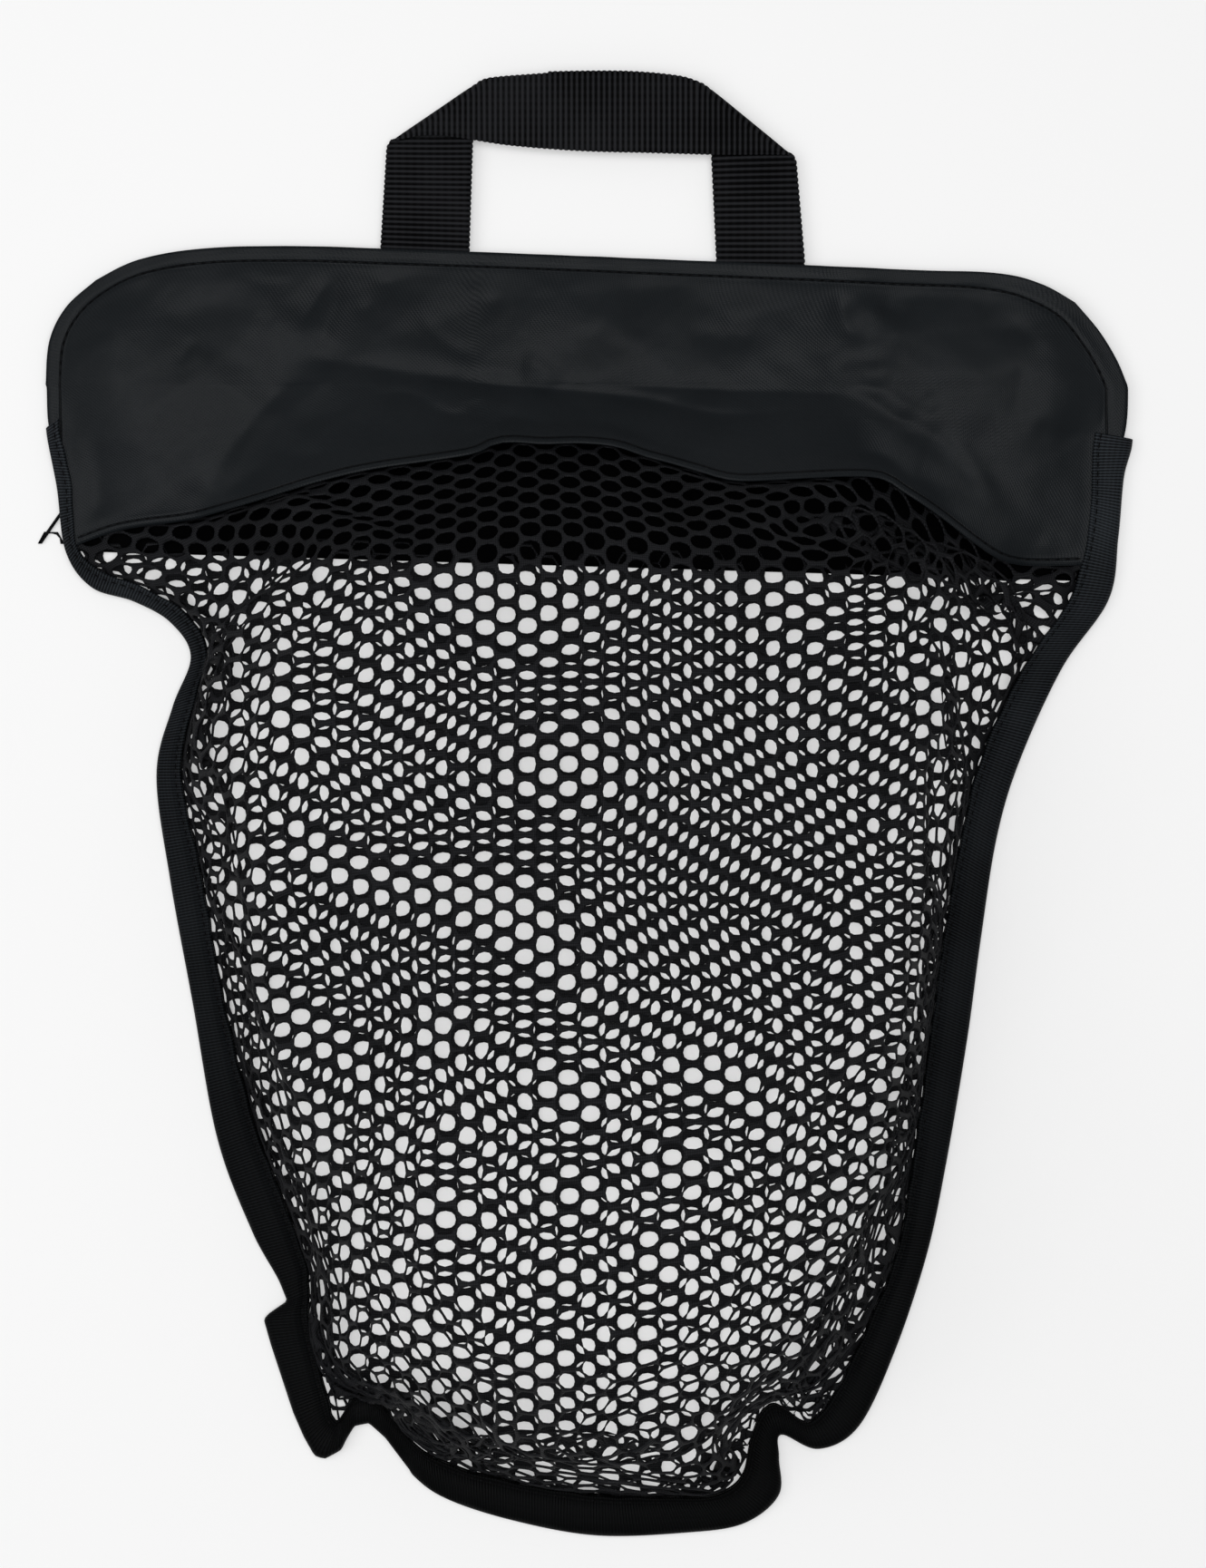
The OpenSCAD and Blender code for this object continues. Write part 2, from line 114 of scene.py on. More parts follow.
aim = (0.0, 0.0, 0.03)
for lamp_name, place, size, watts in (("overhead_light", (0.04, 0.06, 1.75), 1.15, 19.8),
        ("window_light", (-1.0, 0.0, 1.2), 0.9, 5.4)):
    lamp = bpy.data.lights.new(lamp_name, "AREA")
    lamp.shape = "SQUARE"
    lamp.size = size
    lamp.energy = watts
    holder = bpy.data.objects.new(lamp_name, lamp)
    scene.collection.objects.link(holder)
    holder.location = place
    away = [p - a for p, a in zip(place, aim)]
    level_away = math.hypot(away[0], away[1])
    holder.rotation_euler = (math.atan2(level_away, away[2]), 0, math.atan2(away[0], -away[1]))

eye = bpy.data.cameras.new("camera")
eye.sensor_fit = "VERTICAL"
eye.sensor_height = 24
eye.lens = 58.73
eye.clip_start = 0.05
eye.clip_end = 20
camera = bpy.data.objects.new("camera", eye)
camera.location = (0.0043, 0.0053, 1.1)
scene.collection.objects.link(camera)
scene.camera = camera


# Front mesh panel
# Warp-knitted polyester netting with round holes in a honeycomb, cut as a long panel. It is sewn
# under the front yoke and into the edge tape, and the filled bag pushes it out into a dome, so it
# is let settle over the filling here as a net of yarns that give a little but are slow to bunch up.

# Bound edge from the left end of the mouth, down the left side and up the right one: outer edge
# and inner edge of the tape at each station, in millimetres
edge = np.array([
    [-154.8, 119.2, -150.8, 119.2], [-155.1, 107, -151, 107], [-152, 90, -147.5, 90],
    [-149.4, 71.6, -146.4, 74.6], [-142, 61.5, -140, 66.5], [-130, 57.5, -128, 62],
    [-119.5, 51.5, -115.5, 54.5], [-113.7, 41.7, -108.7, 43.2], [-118.9, 27.4, -112.4, 29.4],
    [-123.5, 8, -116.2, 8], [-119.6, -22, -110.6, -20], [-113.2, -57, -104.2, -56],
    [-106.1, -96.1, -95.2, -92.1], [-96, -123, -84.5, -120], [-87, -141, -79, -138],
    [-91, -153, -80.5, -150], [-85, -174, -75, -168], [-76.5, -187, -72, -175], [-66, -178, -66, -168.5],
    [-58.9, -181.4, -59.9, -171.9], [-50.9, -191.7, -51.9, -181.2], [-41, -199, -42, -188.3],
    [-22, -205.3, -22, -194], [2, -209.7, 2, -197.8], [27, -209, 23, -198.4], [44.3, -206.4, 37.3, -197.8],
    [54.6, -198.2, 44.3, -191.7], [54.7, -187.5, 47, -180.5], [55.3, -180.9, 52.8, -171.9],
    [66, -185, 62.5, -177], [77.5, -178.5, 69.5, -170.5], [87.7, -157.3, 78.2, -153.3],
    [96.9, -129.6, 88.2, -128.6], [102.4, -103.9, 93.2, -100.9], [108.5, -68, 98.2, -64],
    [112.3, -40, 102.3, -35], [117, -10, 107.8, -5], [123.6, 12.1, 113.6, 15.7],
    [135.7, 38.5, 124.7, 38.7], [149, 58, 138.2, 59], [151.8, 75.9, 143.2, 78.9], [153.4, 93, 144, 93],
    [155.9, 104, 144.7, 104], [154.4, 119.2, 149.2, 119.2]], float)
# how deep the cloth's own edge lies in the tape, as a share of its width, less at the tape's folds
tuck_share = 0.75
fold_stations = [0, 6, 7, 8, 16, 17, 20, 21, 25, 26, 29, 31, 43]
fold_tuck = [1, 1, 0.85, 1, 1, 0.75, 0.75, 1, 1, 0.7, 0.7, 1, 1]
# how far inside the tape's inner edge the panel comes into sight, as a share of the tape's width
margin_stations = [0, 2, 6, 7, 8, 15, 17, 20, 21.5, 23.5, 25, 26, 27, 29, 30.5, 41, 43]
margin_share = [0, 0.06, 0.06, 0.2, 0.06, 0.06, 0.3, 0.3, 0.06, 0.06, 0.55, 0.6, 0.3, 0.3, 0.06,
    0.06, 0]
# lower edge of the front yoke, where it is sewn over the netting
yoke_edge = np.array([[-136, 77.2], [-127, 78.9], [-115, 80.4], [-104.8, 82.6], [-92.4, 85.6],
    [-74.2, 90.5], [-59.3, 93.6], [-44.7, 95.6], [-33.5, 97.4], [-29, 98.9], [-25.8, 100.8],
    [-20, 101.3], [-12.6, 100.7], [-2, 101], [7.8, 100], [16, 97], [23, 95], [31, 92.5],
    [37.9, 90.3], [44, 89.7], [58.3, 90.7], [73.8, 91.9], [83.2, 91.5], [89.3, 87.8], [99.6, 81.2],
    [110, 73.6], [117.4, 69.2], [125.9, 67.6]], float)
yoke_left, yoke_right = 3.1, 39.42      # stations where the yoke's lower edge meets the tape
corner_left, corner_right = 17, 30      # stations of the panel's lower corners
front_level = 2.5                       # middle of the front panel inside the tape


def curve(points, s):
    # smooth curve through the points, where s counts them from 0
    points = np.asarray(points, float)
    s = np.asarray(s, float)
    last = len(points) - 1
    i = np.clip(np.floor(s), 0, last - 1).astype(int)
    t = (s - i)[..., None]
    a, b = points[np.maximum(i - 1, 0)], points[i]
    c, d = points[i + 1], points[np.minimum(i + 2, last)]
    return 0.5 * (2 * b + (c - a) * t + (2 * a - 5 * b + 4 * c - d) * t**2
        + (3 * b - a - 3 * c + d) * t**3)


def fine(points, count=200):
    return curve(points, np.linspace(0, len(points) - 1, count))


def outer(s):
    return curve(edge[:, :2], s)


def inner(s):
    return curve(edge[:, 2:], s)


def mix(a, b, t):
    return a + (b - a) * t


def soft(t):
    t = np.clip(t, 0, 1)
    return t * t * (3 - 2 * t)


def past_tape(s):
    # 0 along the tape, and up to 1 past its two ends by the mouth
    return np.clip(np.maximum(1 - s, s - 42), 0, 1)


def tucked(s):
    # the cloth's own edge inside the folded tape
    s = np.asarray(s, float)
    share = mix(tuck_share * np.interp(s, fold_stations, fold_tuck), 1, past_tape(s))
    return mix(inner(s), outer(s), share[..., None])


def margin(s):
    # the line along the tape where the panel comes into sight
    s = np.asarray(s, float)
    return mix(inner(s), outer(s), -np.interp(s, margin_stations, margin_share)[..., None])


def length(v):
    return np.linalg.norm(v, axis=-1)


def run_along(line):
    # length from the start of a line to each of its points
    return np.insert(np.cumsum(length(np.diff(line, axis=0)), axis=0), 0, 0, axis=0)


def places_on(line, run, at):
    # places at given lengths along a line
    return np.stack([np.interp(at, run, line[:, k]) for k in range(line.shape[1])], -1)


def even(line, count):
    # points equal lengths apart on a fine line
    run = run_along(line)
    return places_on(line, run, np.linspace(0, run[-1], count))


def lift(plan, z):
    return np.concatenate([plan, z[..., None]], -1)


def patch(low, high, left, right):
    # grid of points between four edge lines
    u = np.linspace(0, 1, len(low))[None, :, None]
    v = np.linspace(0, 1, len(left))[:, None, None]
    return (mix(low[None], high[None], v) + mix(left[:, None], right[:, None], u)
        - mix(mix(low[0], low[-1], u), mix(high[0], high[-1], u), v))


# The filling: an egg-shaped rim, a domed face over it and a round boss near its lower end
rim_middle = np.array([-0.6, -20.0])
rim_half, rim_up, rim_down = 90, 93, 161
dome_edge, dome_rise, dome_slope = 51.5, 25, 0.075
boss_middle = np.array([-0.5, -105.0])
boss_radius, boss_top, boss_rise = 41.6, 103.5, 3
# where the cloth comes down to the table round the filling
foot = np.concatenate([edge[8:39, 2:], [[130, 56], [117, 81], [101, 97], [84, 105], [64, 112],
    [31, 113], [-14, 115], [-44, 117], [-72, 116], [-93, 107], [-110, 88], [-119, 58]]])


def rim_ratio(p):
    # distance from the middle of the filling as a share of the way to its rim
    across = np.abs(p[..., 0] - rim_middle[0]) / rim_half
    along = p[..., 1] - rim_middle[1]
    power = np.where(along > 0, 2.9, 1.9)
    along = np.where(along > 0, along / rim_up, -along / rim_down)
    return (across**power + along**power)**(1 / power)


def face_height(p):
    # the higher of dome and boss, with a rounded hollow where they meet
    q = rim_ratio(p)
    d = p - boss_middle
    r = length(d)
    turn = np.degrees(np.abs(np.arctan2(d[..., 0], d[..., 1])))
    fall = mix(0.45, 1.65, soft(turn / 85))
    boss = (boss_top - boss_rise * (np.minimum(r, boss_radius) / boss_radius)**2
        - fall * np.maximum(0, r - boss_radius))
    dome = dome_edge + dome_slope * p[..., 1] + dome_rise * (1 - q * q)
    return (dome + boss + np.sqrt((dome - boss)**2 + 25)) / 2


def line_distance(p, line):
    # distance to a line of points, how far along it the nearest place is, 0 to 1, and its side
    best = np.full(p.shape[:-1], 1e9)
    along = np.zeros(p.shape[:-1])
    side = np.zeros(p.shape[:-1])
    run = run_along(line)
    for k in range(len(line) - 1):
        a, b = line[k], line[k + 1]
        d = b - a
        t = np.clip(((p - a) @ d) / max(d @ d, 1e-9), 0, 1)
        away = p - a - d * t[..., None]
        far = length(away)
        near = far < best
        best = np.where(near, far, best)
        along = np.where(near, (run[k] + t * (run[k + 1] - run[k])) / run[-1], along)
        side = np.where(near, np.sign(d[0] * away[..., 1] - d[1] * away[..., 0]), side)
    return best, along, side


def inside_ring(p, ring):
    crossings = np.zeros(p.shape[:-1], int)
    for a, b in zip(ring, np.roll(ring, -1, axis=0)):
        if a[1] != b[1]:
            meets = (a[1] > p[..., 1]) != (b[1] > p[..., 1])
            crossings += meets & (p[..., 0] < a[0] + (b[0] - a[0]) * (p[..., 1] - a[1]) / (b[1] - a[1]))
    return crossings % 2 == 1


def cloth_height(p, base):
    # over the filling the cloth lies on it, and from the rim it hangs down to its foot
    q = np.maximum(rim_ratio(p), 1e-6)
    rim = rim_middle + (p - rim_middle) / q[..., None]
    to_rim = length(p - rim)
    to_foot = line_distance(p, np.concatenate([foot, foot[:1]]))[0]
    gap = to_rim + to_foot
    side = base + (face_height(rim) - base) * (to_foot / gap)**(1 + np.maximum(0, gap - 30) / 90)
    return np.where(q <= 1, face_height(p), np.where(inside_ring(p, foot), side, base))


# Grid of the panel in its flat cut: s runs across it and t down it from the yoke's seam.
# Columns stay upright in the cut, so any hole of the netting finds its place on the grid at once.
across_n, down_n = 88, 104
# the cut's width at lengths down from the seam
cut_down = np.array([0, 60, 140, 200, 240, 285, 320, 345])
cut_wide = np.array([292, 292, 294, 292, 284, 258, 218, 186])


def cut_width(v):
    return np.interp(v, cut_down, cut_wide)


def cut_length(s):
    return 342 - 58 * np.abs(2 * np.clip(s, 0, 1) - 1)**2.2


s_line = np.linspace(0, 1, across_n + 1)
t_line = np.linspace(0, 1, down_n + 1)
cut_v = t_line[:, None] * cut_length(s_line)[None, :]
cut_u = (s_line[None, :] - 0.5) * cut_width(cut_v)


# First lay: the panel's plan between its four bound edges, lifted on to the filling
def along_edge(first, last, count):
    places = np.linspace(first, last, 600)
    return margin(even(np.concatenate([inner(places), places[:, None]], 1), count)[:, 2])


def seam_at(rise):
    # the yoke's lower edge from tape to tape, moved up the bag
    line = np.concatenate([[margin(yoke_left)], yoke_edge + [0, rise], [margin(yoke_right)]])
    return even(fine(line, 600), across_n + 1)


seam_plan = seam_at(0)
under_seam = seam_at(0.6)               # the netting's own edge lies under the yoke's
plan = patch(under_seam, along_edge(corner_left, corner_right, across_n + 1),
    along_edge(yoke_left, corner_left, down_n + 1), along_edge(yoke_right, corner_right, down_n + 1))

# Heights of the filling and of the table under it, kept on a fine grid over the plan, and how far
# a place lies inside the tape's inner edge, less than nothing outside it, kept on a coarse one
grid_left, grid_right, grid_low, grid_high = -160, 161, -215, 165
fine_step, coarse_step = 1.0, 2.0


def plan_grid(step):
    return np.stack(np.meshgrid(np.arange(grid_left, grid_right, step),
        np.arange(grid_low, grid_high, step)), -1)


def between(values, across, down):
    # value between the points of a grid, and straight on past its edges
    rows, columns = values.shape[:2]
    i = np.clip(np.floor(across), 0, columns - 2).astype(int)
    j = np.clip(np.floor(down), 0, rows - 2).astype(int)
    a, b = across - i, down - j
    if values.ndim > 2:
        a, b = a[..., None], b[..., None]
    return mix(mix(values[j, i], values[j, i + 1], a), mix(values[j + 1, i], values[j + 1, i + 1], a), b)


def look_up(values, step, p):
    rows, columns = values.shape
    return between(values, np.clip((p[..., 0] - grid_left) / step, 0, columns - 1.001),
        np.clip((p[..., 1] - grid_low) / step, 0, rows - 1.001))


field = cloth_height(plan_grid(fine_step), front_level)
inner_line = inner(np.linspace(yoke_left, yoke_right, 500))
bound_ring = np.concatenate([inner_line, [[300, 79], [300, 400], [-300, 400], [-300, 75]]])


def field_at(p):
    return look_up(field, fine_step, p)


def outline_depth(p):
    far = line_distance(p, inner_line)[0]
    return np.where(inside_ring(p, bound_ring), far, -far)


depth_field = outline_depth(plan_grid(coarse_step))
depth_slope_y, depth_slope_x = np.gradient(depth_field, coarse_step)


def depth_at(p):
    return look_up(depth_field, coarse_step, p)


def shift_inwards(p, reach):
    p[..., 0] += reach * look_up(depth_slope_x, coarse_step, p)
    p[..., 1] += reach * look_up(depth_slope_y, coarse_step, p)


for _ in range(3):
    lifted = lift(plan, field_at(plan))
    for i in range(across_n + 1):
        run = run_along(lifted[:, i])
        plan[:, i] = places_on(plan[:, i], run, t_line * run[-1])
net = lift(plan, field_at(plan))
net[0, :, 2] = np.maximum(field_at(net[0, :, :2]) - 0.9, front_level)
net[-1, :, 2] = front_level
net[:, 0, 2] = net[:, -1, 2] = front_level
bound = np.ones(net.shape[:2], bool)
bound[1:-1, 1:-1] = False
start = net.copy()


def yarn_ends(down, across):
    # the grid's points at the two ends of every yarn that runs so many rows and columns on
    rows, columns = down_n + 1 - down, across_n + 1 - abs(across)
    i, i2 = max(-across, 0), max(across, 0)
    return (slice(0, rows), slice(i, i + columns)), (slice(down, None), slice(i2, i2 + columns))


# rows down, columns across, pull where a yarn is drawn out and push where it is pressed together
links = [(0, 1, 0.5, 0.25), (1, 0, 0.42, 0.25), (1, 1, 0.1, 0.05), (1, -1, 0.1, 0.05),
    (0, 3, 0.0, 0.25), (3, 0, 0.0, 0.25), (2, 2, 0.0, 0.1), (2, -2, 0.0, 0.1),
    (0, 6, 0.0, 0.2), (6, 0, 0.0, 0.2)]
cut = np.stack([cut_u, cut_v], -1)
yarns = []
for down, across, stretch, press in links:
    first, second = yarn_ends(down, across)
    yarns.append((first, second, length(cut[second] - cut[first]), stretch, press))
steps = 700
# what the net keeps of its speed at each step, what its pull is eased by, and its weight
keep_speed, ease, weight = 0.82, 3.2, 0.004
ripple_steps, ripple_push = 120, 0.01
ripple = (np.sin(cut_u * 0.31 + 1.7 * np.sin(cut_v * 0.05))
    * np.sin(cut_v * 0.23 + 1.1 * np.sin(cut_u * 0.06)))
sink, most_lift = 1.0, 6                # how far the net may lie in the filling and stand off it
# the first rows hang from the yoke's seam and stay below it in plan
hung_rows = 12
below_seam = 0.35 * np.minimum(np.arange(hung_rows), 8)[:, None]
speed = np.zeros_like(net)
for turn in range(steps):
    push = np.zeros_like(net)
    for first, second, rest, stretch, press in yarns:
        d = net[second] - net[first]
        span = length(d)
        off = span - rest
        share = np.where(off > 0, stretch, press) * off / np.maximum(span, 1e-6)
        move = d * share[..., None]
        push[first] += move
        push[second] -= move
    speed = keep_speed * speed + push / ease
    speed[..., 2] -= weight
    if turn < ripple_steps:
        speed[..., 2] += ripple_push * ripple
    speed[bound] = 0
    net += speed
    floor = np.maximum(field_at(net) - sink, front_level)
    low = net[..., 2] < floor
    net[..., 2] = np.where(low & ~bound, floor, net[..., 2])
    speed[low, 2] = 0
    high = net[..., 2] > floor + most_lift
    net[..., 2] = np.where(high & ~bound, floor + most_lift, net[..., 2])
    shift_inwards(net, np.clip(0.9 - depth_at(net), 0, 3))
    seam_y = np.interp(net[:hung_rows, :, 0], under_seam[:, 0], under_seam[:, 1])
    net[:hung_rows, :, 1] = np.minimum(net[:hung_rows, :, 1], seam_y - below_seam)
    net[bound] = start[bound]


# The settled net smoothed, and the way its face looks at each point, which the yarn's thickness follows
for _ in range(2):
    around = (net[:-2, 1:-1] + net[2:, 1:-1] + net[1:-1, :-2] + net[1:-1, 2:]) / 4
    net[1:-1, 1:-1] = mix(net[1:-1, 1:-1], around, 0.5)


def unit(v):
    return v / np.maximum(length(v)[..., None], 1e-9)


normals = unit(np.cross(np.gradient(net, axis=1), -np.gradient(net, axis=0)))


def net_at(u, v, values):
    # value at a place of the flat cut
    s = u / cut_width(v) + 0.5
    return between(values, s * across_n, v / cut_length(s) * down_n)


# The netting: columns of holes 5.9 mm apart, the holes 6.8 mm apart down each column
column, pitch = 5.9, 6.8
yarn = 0.75
cell_half = column / 2 + pitch**2 / (8 * column)
cell_shoulder = column / 2 - pitch**2 / (8 * column)
corners = np.array([[cell_half, 0], [cell_shoulder, pitch / 2], [-cell_shoulder, pitch / 2],
    [-cell_half, 0], [-cell_shoulder, -pitch / 2], [cell_shoulder, -pitch / 2]])
ring_n = 12
ring = np.stack([corners, (corners + np.roll(corners, -1, axis=0)) / 2], 1).reshape(ring_n, 2)
angle = np.radians(np.arange(ring_n) * 30)[None]


side_columns = 26


def lattice(rows):
    # middles of the holes over the flat cut, each second column half a pitch further down
    return np.array([(i * column, (j + (i % 2) / 2) * pitch)
        for i in range(-side_columns, side_columns + 1) for j in range(-1, rows)])


# the netting runs on a little past its flat cut on all sides
cells = lattice(54)
u, v = cells.T
s = u / cut_width(v) + 0.5
out_side = (np.abs(s - 0.5) - 0.5) * cut_width(v)
past_cut, past_seam = 2.4, 1.8
cells = cells[(out_side < past_cut) & (v > -past_seam) & (v < cut_length(s) + past_cut)]


def woven(name, dark, light, roughness, shine, pitches, weights, depth, painted_weave_shade=0.3, grooves=(),
        painted_light_ramp=None):
    # raised threads or ribs across the flat cut, down it and on the slant, in uneven shades, with painted
    # light and shade: the colour is lighter on the threads' crests and darker in their hollows, in step
    # with the bump
    material, face = new_finish(name, roughness, shine)
    tree = material.node_tree
    cut_map = add_node(tree, "ShaderNodeUVMap", {}, uv_map="cut")
    place = add_node(tree, "ShaderNodeSeparateXYZ", {0: cut_map.outputs["UV"]}).outputs
    axes = place["X"], place["Y"], maths(tree, "ADD", place["X"], place["Y"])
    weave = 0.0
    for axis, pitch_m, weight in zip(axes, pitches, weights):
        turn = maths(tree, "MULTIPLY", axis, 2 * math.pi / pitch_m)
        weave = maths(tree, "MULTIPLY_ADD", maths(tree, "COSINE", turn), weight, weave)
    spot = add_node(tree, "ShaderNodeTexCoord", {}).outputs["Object"]
    cloud_size, fuzz_count = 0.03, 2600     # width of a cloud, and bits of fuzz to a metre
    clouds = add_node(tree, "ShaderNodeTexNoise", {"Vector": spot, "Scale": 1 / cloud_size, "Detail": 4})
    fuzz = add_node(tree, "ShaderNodeTexNoise", {"Vector": spot, "Scale": fuzz_count, "Detail": 2})
    # painted light and shade of the weave, plus uneven tone from the clouds
    shade = maths(tree, "MULTIPLY_ADD", weave, painted_weave_shade, clouds.outputs["Fac"])
    colour = add_node(tree, "ShaderNodeMix", {"Factor": shade, "A": dark + (1,), "B": light + (1,)},
        data_type="RGBA").outputs["Result"]
    relief = maths(tree, "MULTIPLY_ADD", fuzz.outputs["Fac"], 0.35, weave)
    if painted_light_ramp is not None:
        # painted light and shade: darkest at the low end of the bag and lighter towards its mouth
        low_end, high_end, least, most = painted_light_ramp
        height = add_node(tree, "ShaderNodeSeparateXYZ", {0: spot}).outputs["Y"]
        reach = add_node(tree, "ShaderNodeMapRange",
            {"Value": height, "From Min": low_end, "From Max": high_end}).outputs[0]
        bend = maths(tree, "POWER", reach, 1.4)
        amount = maths(tree, "MULTIPLY_ADD", bend, most - least, least)
        colour = add_node(tree, "ShaderNodeVectorMath", {0: colour, "Scale": amount},
            operation="SCALE").outputs[0]
    stitch_dent_and_shade = None
    for groove in grooves:
        # a line of stitches draws the cloth in: the attribute is the distance to that line, and the groove
        # is darkened there with painted shade
        gap = add_node(tree, "ShaderNodeAttribute", {}, attribute_name=groove).outputs["Fac"]
        dent = add_node(tree, "ShaderNodeMapRange", {"Value": maths(tree, "ABSOLUTE", gap),
            "From Max": 0.5, "To Min": 0.8, "To Max": 0.0}, interpolation_type="SMOOTHSTEP").outputs[0]
        stitch_dent_and_shade = dent if stitch_dent_and_shade is None else maths(tree, "MAXIMUM", stitch_dent_and_shade, dent)
    if stitch_dent_and_shade is not None:
        colour = add_node(tree, "ShaderNodeMix", {"Factor": stitch_dent_and_shade, "A": colour,
            "B": (0.0006, 0.0006, 0.0007, 1)}, data_type="RGBA").outputs["Result"]
        relief = maths(tree, "MULTIPLY_ADD", stitch_dent_and_shade, -8.0, relief)
    bump = add_node(tree, "ShaderNodeBump", {"Height": relief, "Strength": 0.8, "Distance": depth})
    tree.links.new(colour, face.inputs["Base Color"])
    tree.links.new(bump.outputs["Normal"], face.inputs["Normal"])
    return material


def new_piece(name, points, faces, material, flat=None):
    # a piece from points in millimetres, with their places in its flat cut where it is cloth
    mesh = bpy.data.meshes.new(name)
    mesh.from_pydata((points * mm).tolist(), [], faces)
    if flat is not None:
        corner_points = np.zeros(len(mesh.loops), np.int32)
        mesh.loops.foreach_get("vertex_index", corner_points)
        uv = mesh.uv_layers.new(name="cut")
        uv.data.foreach_set("uv", (flat[corner_points] * mm).ravel().astype(np.float32))
        mesh.polygons.foreach_set("use_smooth", [True] * len(mesh.polygons))
    mesh.materials.append(material)
    mesh.update()
    piece = bpy.data.objects.new(name, mesh)
    scene.collection.objects.link(piece)
    return piece


# the yarn's colour is lighter on its raised knit lines and darker between them: painted sheen and shade
yarn_black = woven("netting_yarn", dark=(0.003, 0.003, 0.0035), light=(0.0146, 0.0152, 0.0172),
    roughness=0.6, shine=0.06, pitches=(0.55 * mm, 0.62 * mm), weights=(0.5, 0.5), depth=0.08 * mm,
    painted_weave_shade=0.45)


def build_netting(name, cells, place, pulled):
    # place(u, v) gives the point and the outward direction there
    ring_uv = (cells[:, None] + ring[None]).reshape(-1, 2)
    _, index, back = np.unique(np.round(ring_uv * 50).astype(int), axis=0, return_index=True,
        return_inverse=True)
    back = back.reshape(-1)
    shared = ring_uv[index]
    point, out = place(*shared.T)
    # how far the net is drawn out at each hole, across and down
    near = 0.6
    u, v = cells.T
    across = (place(u + near, v)[0] - place(u - near, v)[0]) / (2 * near)
    down = (place(u, v + near)[0] - place(u, v - near)[0]) / (2 * near)
    wide, high = np.clip(length(across), 0.35, 1.6), np.clip(length(down), 0.35, 1.6)
    # the bars between holes get thinner where the net is drawn out, most under the yoke's seam
    drawn = 1 - soft((v - 18) / 26) if pulled else 0 * v
    bar_x = np.clip(1.13 - 2.5 * (wide - 1) - 0.3 * drawn, 0.7, 1.9)
    bar_y = np.clip(1.0 - 1.65 * (high - 1), 0.62, 1.6) + 0.3 * drawn
    # holes are round, and almond shaped where the net is drawn out
    power = mix(2.3, 1.8, drawn)[:, None]
    round_x = np.sign(np.cos(angle)) * np.abs(np.cos(angle))**(2 / power)
    round_y = np.sign(np.sin(angle)) * np.abs(np.sin(angle))**(2 / power)
    half_x = np.clip(cell_half * wide - bar_x, 0.35, None) / wide
    half_y = np.clip(pitch / 2 * high - bar_y, 0.3, None) / high
    hole = np.stack([round_x * half_x[:, None], round_y * half_y[:, None]], -1)
    hole_uv = (cells[:, None] + hole).reshape(-1, 2)
    lip_uv = mix(hole_uv, ring_uv, 0.38)
    lip_point, lip_out = place(*lip_uv.T)
    points = np.concatenate([point + out * yarn / 2, point - out * yarn / 2,
        lip_point + lip_out * yarn * 0.42, place(*hole_uv.T)[0]])
    flat = np.concatenate([shared, shared, lip_uv, hole_uv])
    # numbers of the points round each cell: on the face, on the hole's lip, inside it and below
    k = np.arange(len(cells))[:, None] * ring_n + np.arange(ring_n)[None]
    k2 = np.roll(k, -1, axis=1)
    n = len(shared)
    top, top2, low, low2 = back[k], back[k2], n + back[k], n + back[k2]
    lip, lip2 = 2 * n + k, 2 * n + k2
    bore, bore2 = lip + k.size, lip2 + k.size
    faces = [np.stack([top, top2, lip2, lip], -1), np.stack([lip, lip2, bore2, bore], -1),
        np.stack([bore, bore2, low2, low], -1)]
    # close the sheet's own edge
    sides = np.stack([top, top2], -1).reshape(-1, 2)
    _, first, times = np.unique(np.sort(sides, axis=1), axis=0, return_index=True, return_counts=True)
    free = sides[first[times == 1]]
    wall = np.stack([free[:, 1], free[:, 0], n + free[:, 0], n + free[:, 1]], -1)
    faces = np.concatenate([f.reshape(-1, 4) for f in faces] + [wall])
    return new_piece(name, points, faces.tolist(), yarn_black, flat)


def edge_x(first, last, count, y):
    # x of the tape's inner edge at a height, between two stations on one side of the bag
    line = inner(np.linspace(first, last, count))
    return np.interp(y, line[:, 1], line[:, 0])


def on_net(u, v):
    # above the seam the panel is only a narrow turning, hidden under the yoke's edge
    v = np.where(v < -0.8, -0.8 + (v + 0.8) * 0.15, v)
    p = net_at(u, v, net)
    # nothing runs on past the slot of the tape, and what runs on under the yoke lies below it
    short = np.clip(-2.1 - depth_at(p), 0, 12) * (v > 6)
    left, right = edge_x(6, 0, 60, p[..., 1]) - 2.1, edge_x(38, 43, 60, p[..., 1]) + 2.1
    p[..., 0] = np.where(p[..., 1] > 55, np.clip(p[..., 0], left, right), p[..., 0])
    shift_inwards(p, short)
    seam_y = np.interp(p[..., 0], seam_plan[:, 0], seam_plan[:, 1])
    p[..., 1] = np.where(v > 0, np.minimum(p[..., 1], seam_y - 0.3 * np.minimum(v, 6)), p[..., 1])
    under = np.minimum(p[..., 2], np.clip(field_at(p) - sink, front_level, None))
    p[..., 2] = np.where(v < 3.0, mix(under, p[..., 2], soft((v - 1.2) / 1.8)), p[..., 2])
    p[..., 2] = np.maximum(p[..., 2], front_level - 1.1)
    return p, unit(net_at(u, v, normals))


front_net = build_netting("front_netting", cells, on_net, pulled=True)
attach(front_net, "bag")
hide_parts("front_mesh")


